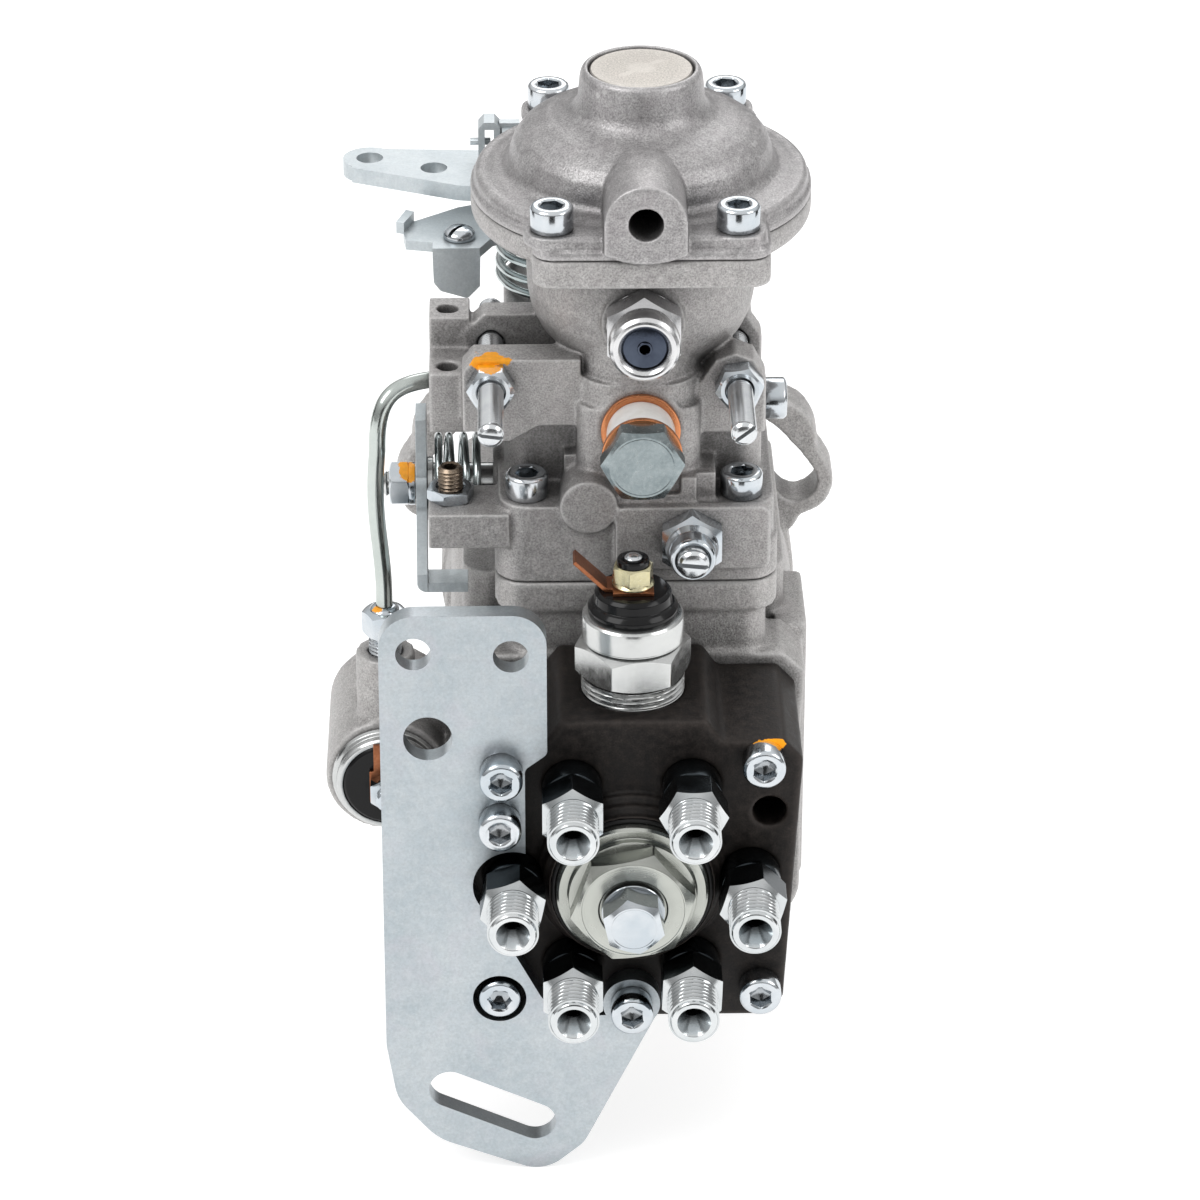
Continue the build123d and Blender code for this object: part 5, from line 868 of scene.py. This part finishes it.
def coil(radius, wire, height, turns, per=48, phase=0.0):
    """Coil about local Z; the end turns lie almost flat."""
    n = int(turns * per)
    out = []
    for i in range(n + 1):
        t = i / n
        a = phase + 2 * math.pi * turns * t
        e = 0.62 / turns
        if t < e:
            z = 0.35 * (t / e) ** 2 * e
        elif t > 1 - e:
            z = 1 - 0.35 * ((1 - t) / e) ** 2 * e
        else:
            z = 0.35 * e + (t - e) / (1 - 2 * e) * (1 - 0.7 * e)
        out.append((radius * math.cos(a), radius * math.sin(a), height * z))
    pts = np.array(out)
    rr = np.full(len(pts), wire / 2)
    rr[0] = rr[-1] = wire / 2 * 0.86
    return tube(pts, rr, 14)


Piece("lever_return_spring").add(coil(11.4, 1.9, 9.4, 3.6), (-44.9, -93, 69.5, XP)).make(M["spring_steel"], replaces=("stop_lever_spring",))
Piece("shaft_return_spring").add(coil(18.0, 2.1, 13.8, 4.1, phase=2.0), (-12.0, -34.0, 98.5, ZP)).make(M["spring_steel"], replaces=("throttle_spring",))

# springs at a moving joint; each gets its own copy of its mesh
bs = Piece("compensator_spring").add(coil(13.0, 2.0, 21.6, 5), (3.6, -86, 120.2, ZP)).make(M["spring_steel"], replaces=("boost_spring",))
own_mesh(bs)
ts = Piece("advance_spring").add(coil(4.8, 1.5, 29.9, 8), (8.6, -62, -50, XP)).make(M["spring_steel"], replaces=("timing_spring",))
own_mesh(ts)

# the pipe: straight up, then a bend into the cover
P0, P1 = Vector((-58.3, -104, 84)), Vector((-46.4, -97.0, 99.0))
route = [Vector((-58.3 - 1.5 * math.sin(math.pi * max(0.0, z - 46) / 52) ** 2, -104, z)) for z in np.linspace(27, 84, 30)[:-1]]
for i in range(33):
    t = i / 32
    h = 14.5
    a, b = P0 + Vector((-1.5 * math.sin(math.pi * 38 / 52) ** 2, 0, 0)), P1
    ta, tb = Vector((0, 0, 1)) * h * 1.05, Vector((1, 0.32, 0.0)).normalized() * h * 0.62
    q = a * (1 - t) ** 3 + (a + ta * 0.95) * 3 * t * (1 - t) ** 2 + (b - tb) * 3 * t * t * (1 - t) + b * t ** 3
    route.append(q)
route.append(Vector((-45.0, -97.0, 99.0)))
Piece("steel_pipe").add(tube([tuple(q) for q in route], 2.0, 24)).make(M["pipe_steel"], replaces=("return_pipe",))
un = Piece("pipe_union")
un.add(Rings().ring(2.0, -7.5).ring(3.7, -7.5).ring(4.0, -7.2).thread(4.0, -7.0, 4.6, 1.0, 0.45, per=9).path([(3.6, 4.7), (4.3, 4.8)]).hexbar(9.6, 4.95, 6.3, 0.8, 0.5, rho=0.25).path([(3.6, 11.3), (3.3, 11.8), (2.7, 12.2), (2.05, 12.3)]), (-58.3, -104, 30, ZP))
un.make(M["bright_screws"], replaces=("pipe_union_nut",))

# drive end
dn = Rings().ring(7.0, 0.6).ring(7.8, 0.0).ring(10.6, 0.0).hexbar(22.0, 0.02, 11.0, 1.5, 0.7, rho=0.4).ring(7.9, 11.0).ring(7.0, 10.2)
Piece("drive_nut").add(dn, (0, 40.4, 0, YP)).make(M["zinc_dark"], replaces=("shaft_nut",))


# ---------------------------------------------------------------------------
# camera, floor, light
# ---------------------------------------------------------------------------
scene = bpy.context.scene
cam = bpy.data.objects.new("camera", bpy.data.cameras.new("camera"))
scene.collection.objects.link(cam)
cam.location = Vector((-26.7, -1164.8, 614.4)) * MM
cam.rotation_mode = "QUATERNION"
cam.rotation_quaternion = Vector((0.0169, 0.8803, -0.4741)).to_track_quat("-Z", "Y")
cam.data.sensor_width = 36.0
cam.data.lens = 150.0
cam.data.clip_start, cam.data.clip_end = 0.05, 30.0
scene.camera = cam

FLOOR_Z = CAD_BOX[0][2] - 0.0002
bpy.ops.mesh.primitive_plane_add(size=12.0, location=(0, 0, FLOOR_Z))
floor = bpy.context.object
floor.name = "floor"
ft = Tree("floor")
fn = ft.noise(3.0, 2.0, 0.5)
floor.data.materials.append(ft.shader(Base_Color=ft.mix(fn, (0.54, 0.54, 0.54), (0.56, 0.56, 0.56)), Roughness=0.8, Emission_Color=(1.0, 1.0, 1.0), Emission_Strength=0.66))

world = bpy.data.worlds.new("studio")
scene.world = world
world.use_nodes = True
wt = world.node_tree
bg = wt.nodes["Background"]
wc = wt.nodes.new("ShaderNodeTexCoord")
wx = wt.nodes.new("ShaderNodeSeparateXYZ")
wt.links.new(wc.outputs["Generated"], wx.inputs[0])
wr = wt.nodes.new("ShaderNodeValToRGB")
wt.links.new(wx.outputs[2], wr.inputs["Fac"])
for at in (0.25, 0.55):
    wr.color_ramp.elements.new(at)
for e, (at, v) in zip(wr.color_ramp.elements, ((0.0, 0.30), (0.25, 0.48), (0.55, 0.92), (1.0, 1.0))):
    e.position = at
    e.color = (v, v, v, 1.0)
wt.links.new(wr.outputs["Color"], bg.inputs["Color"])
bg.inputs["Strength"].default_value = 0.95


def area(name, loc, target, size, energy, color=(1, 1, 1), size_y=None):
    l = bpy.data.lights.new(name, "AREA")
    l.energy = energy
    l.color = color
    l.shape = "RECTANGLE"
    l.size = size
    l.size_y = size_y or size
    o = bpy.data.objects.new(name, l)
    scene.collection.objects.link(o)
    o.location = loc
    o.rotation_mode = "QUATERNION"
    o.rotation_quaternion = (Vector(target) - Vector(loc)).to_track_quat("-Z", "Y")
    return o


area("key", (-0.9, -0.7, 1.3), (0, -0.1, 0.05), 0.9, 9.0)
area("fill", (1.1, -0.6, 0.8), (0, -0.1, 0.05), 0.7, 4.0)
area("back", (0.2, 1.2, 1.1), (0, -0.1, 0.05), 0.9, 4.0)


def card(name, loc, w, h, target, shade=0.01):
    """A dark card that only shows in reflections, as a studio's black flags do."""
    me = bpy.data.meshes.new(name)
    me.from_pydata([(-w / 2, -h / 2, 0), (w / 2, -h / 2, 0), (w / 2, h / 2, 0), (-w / 2, h / 2, 0)], [], [(0, 1, 2, 3)])
    t = Tree(name)
    me.materials.append(t.shader(Base_Color=t.mix(t.noise(4.0), (shade, shade, shade), (shade * 1.6, shade * 1.6, shade * 1.6)), Roughness=0.9))
    o = bpy.data.objects.new(name, me)
    scene.collection.objects.link(o)
    o.location = loc
    o.rotation_mode = "QUATERNION"
    o.rotation_quaternion = (Vector(target) - Vector(loc)).to_track_quat("Z", "Y")
    o.visible_camera = False
    o.visible_diffuse = False
    o.visible_shadow = False
    return o


card("flag_front", (0.0, -0.75, -0.02), 0.34, 0.5, (0, 0, 0.06))
card("flag_right", (0.75, 0.05, 0.05), 0.3, 0.35, (0, 0, 0.06))
card("flag_left", (-0.75, 0.15, 0.05), 0.3, 0.35, (0, 0, 0.06))
card("flag_back", (0.05, 0.8, 0.1), 0.4, 0.35, (0, 0, 0.06))

scene.view_settings.view_transform = "Standard"
scene.view_settings.look = "None"
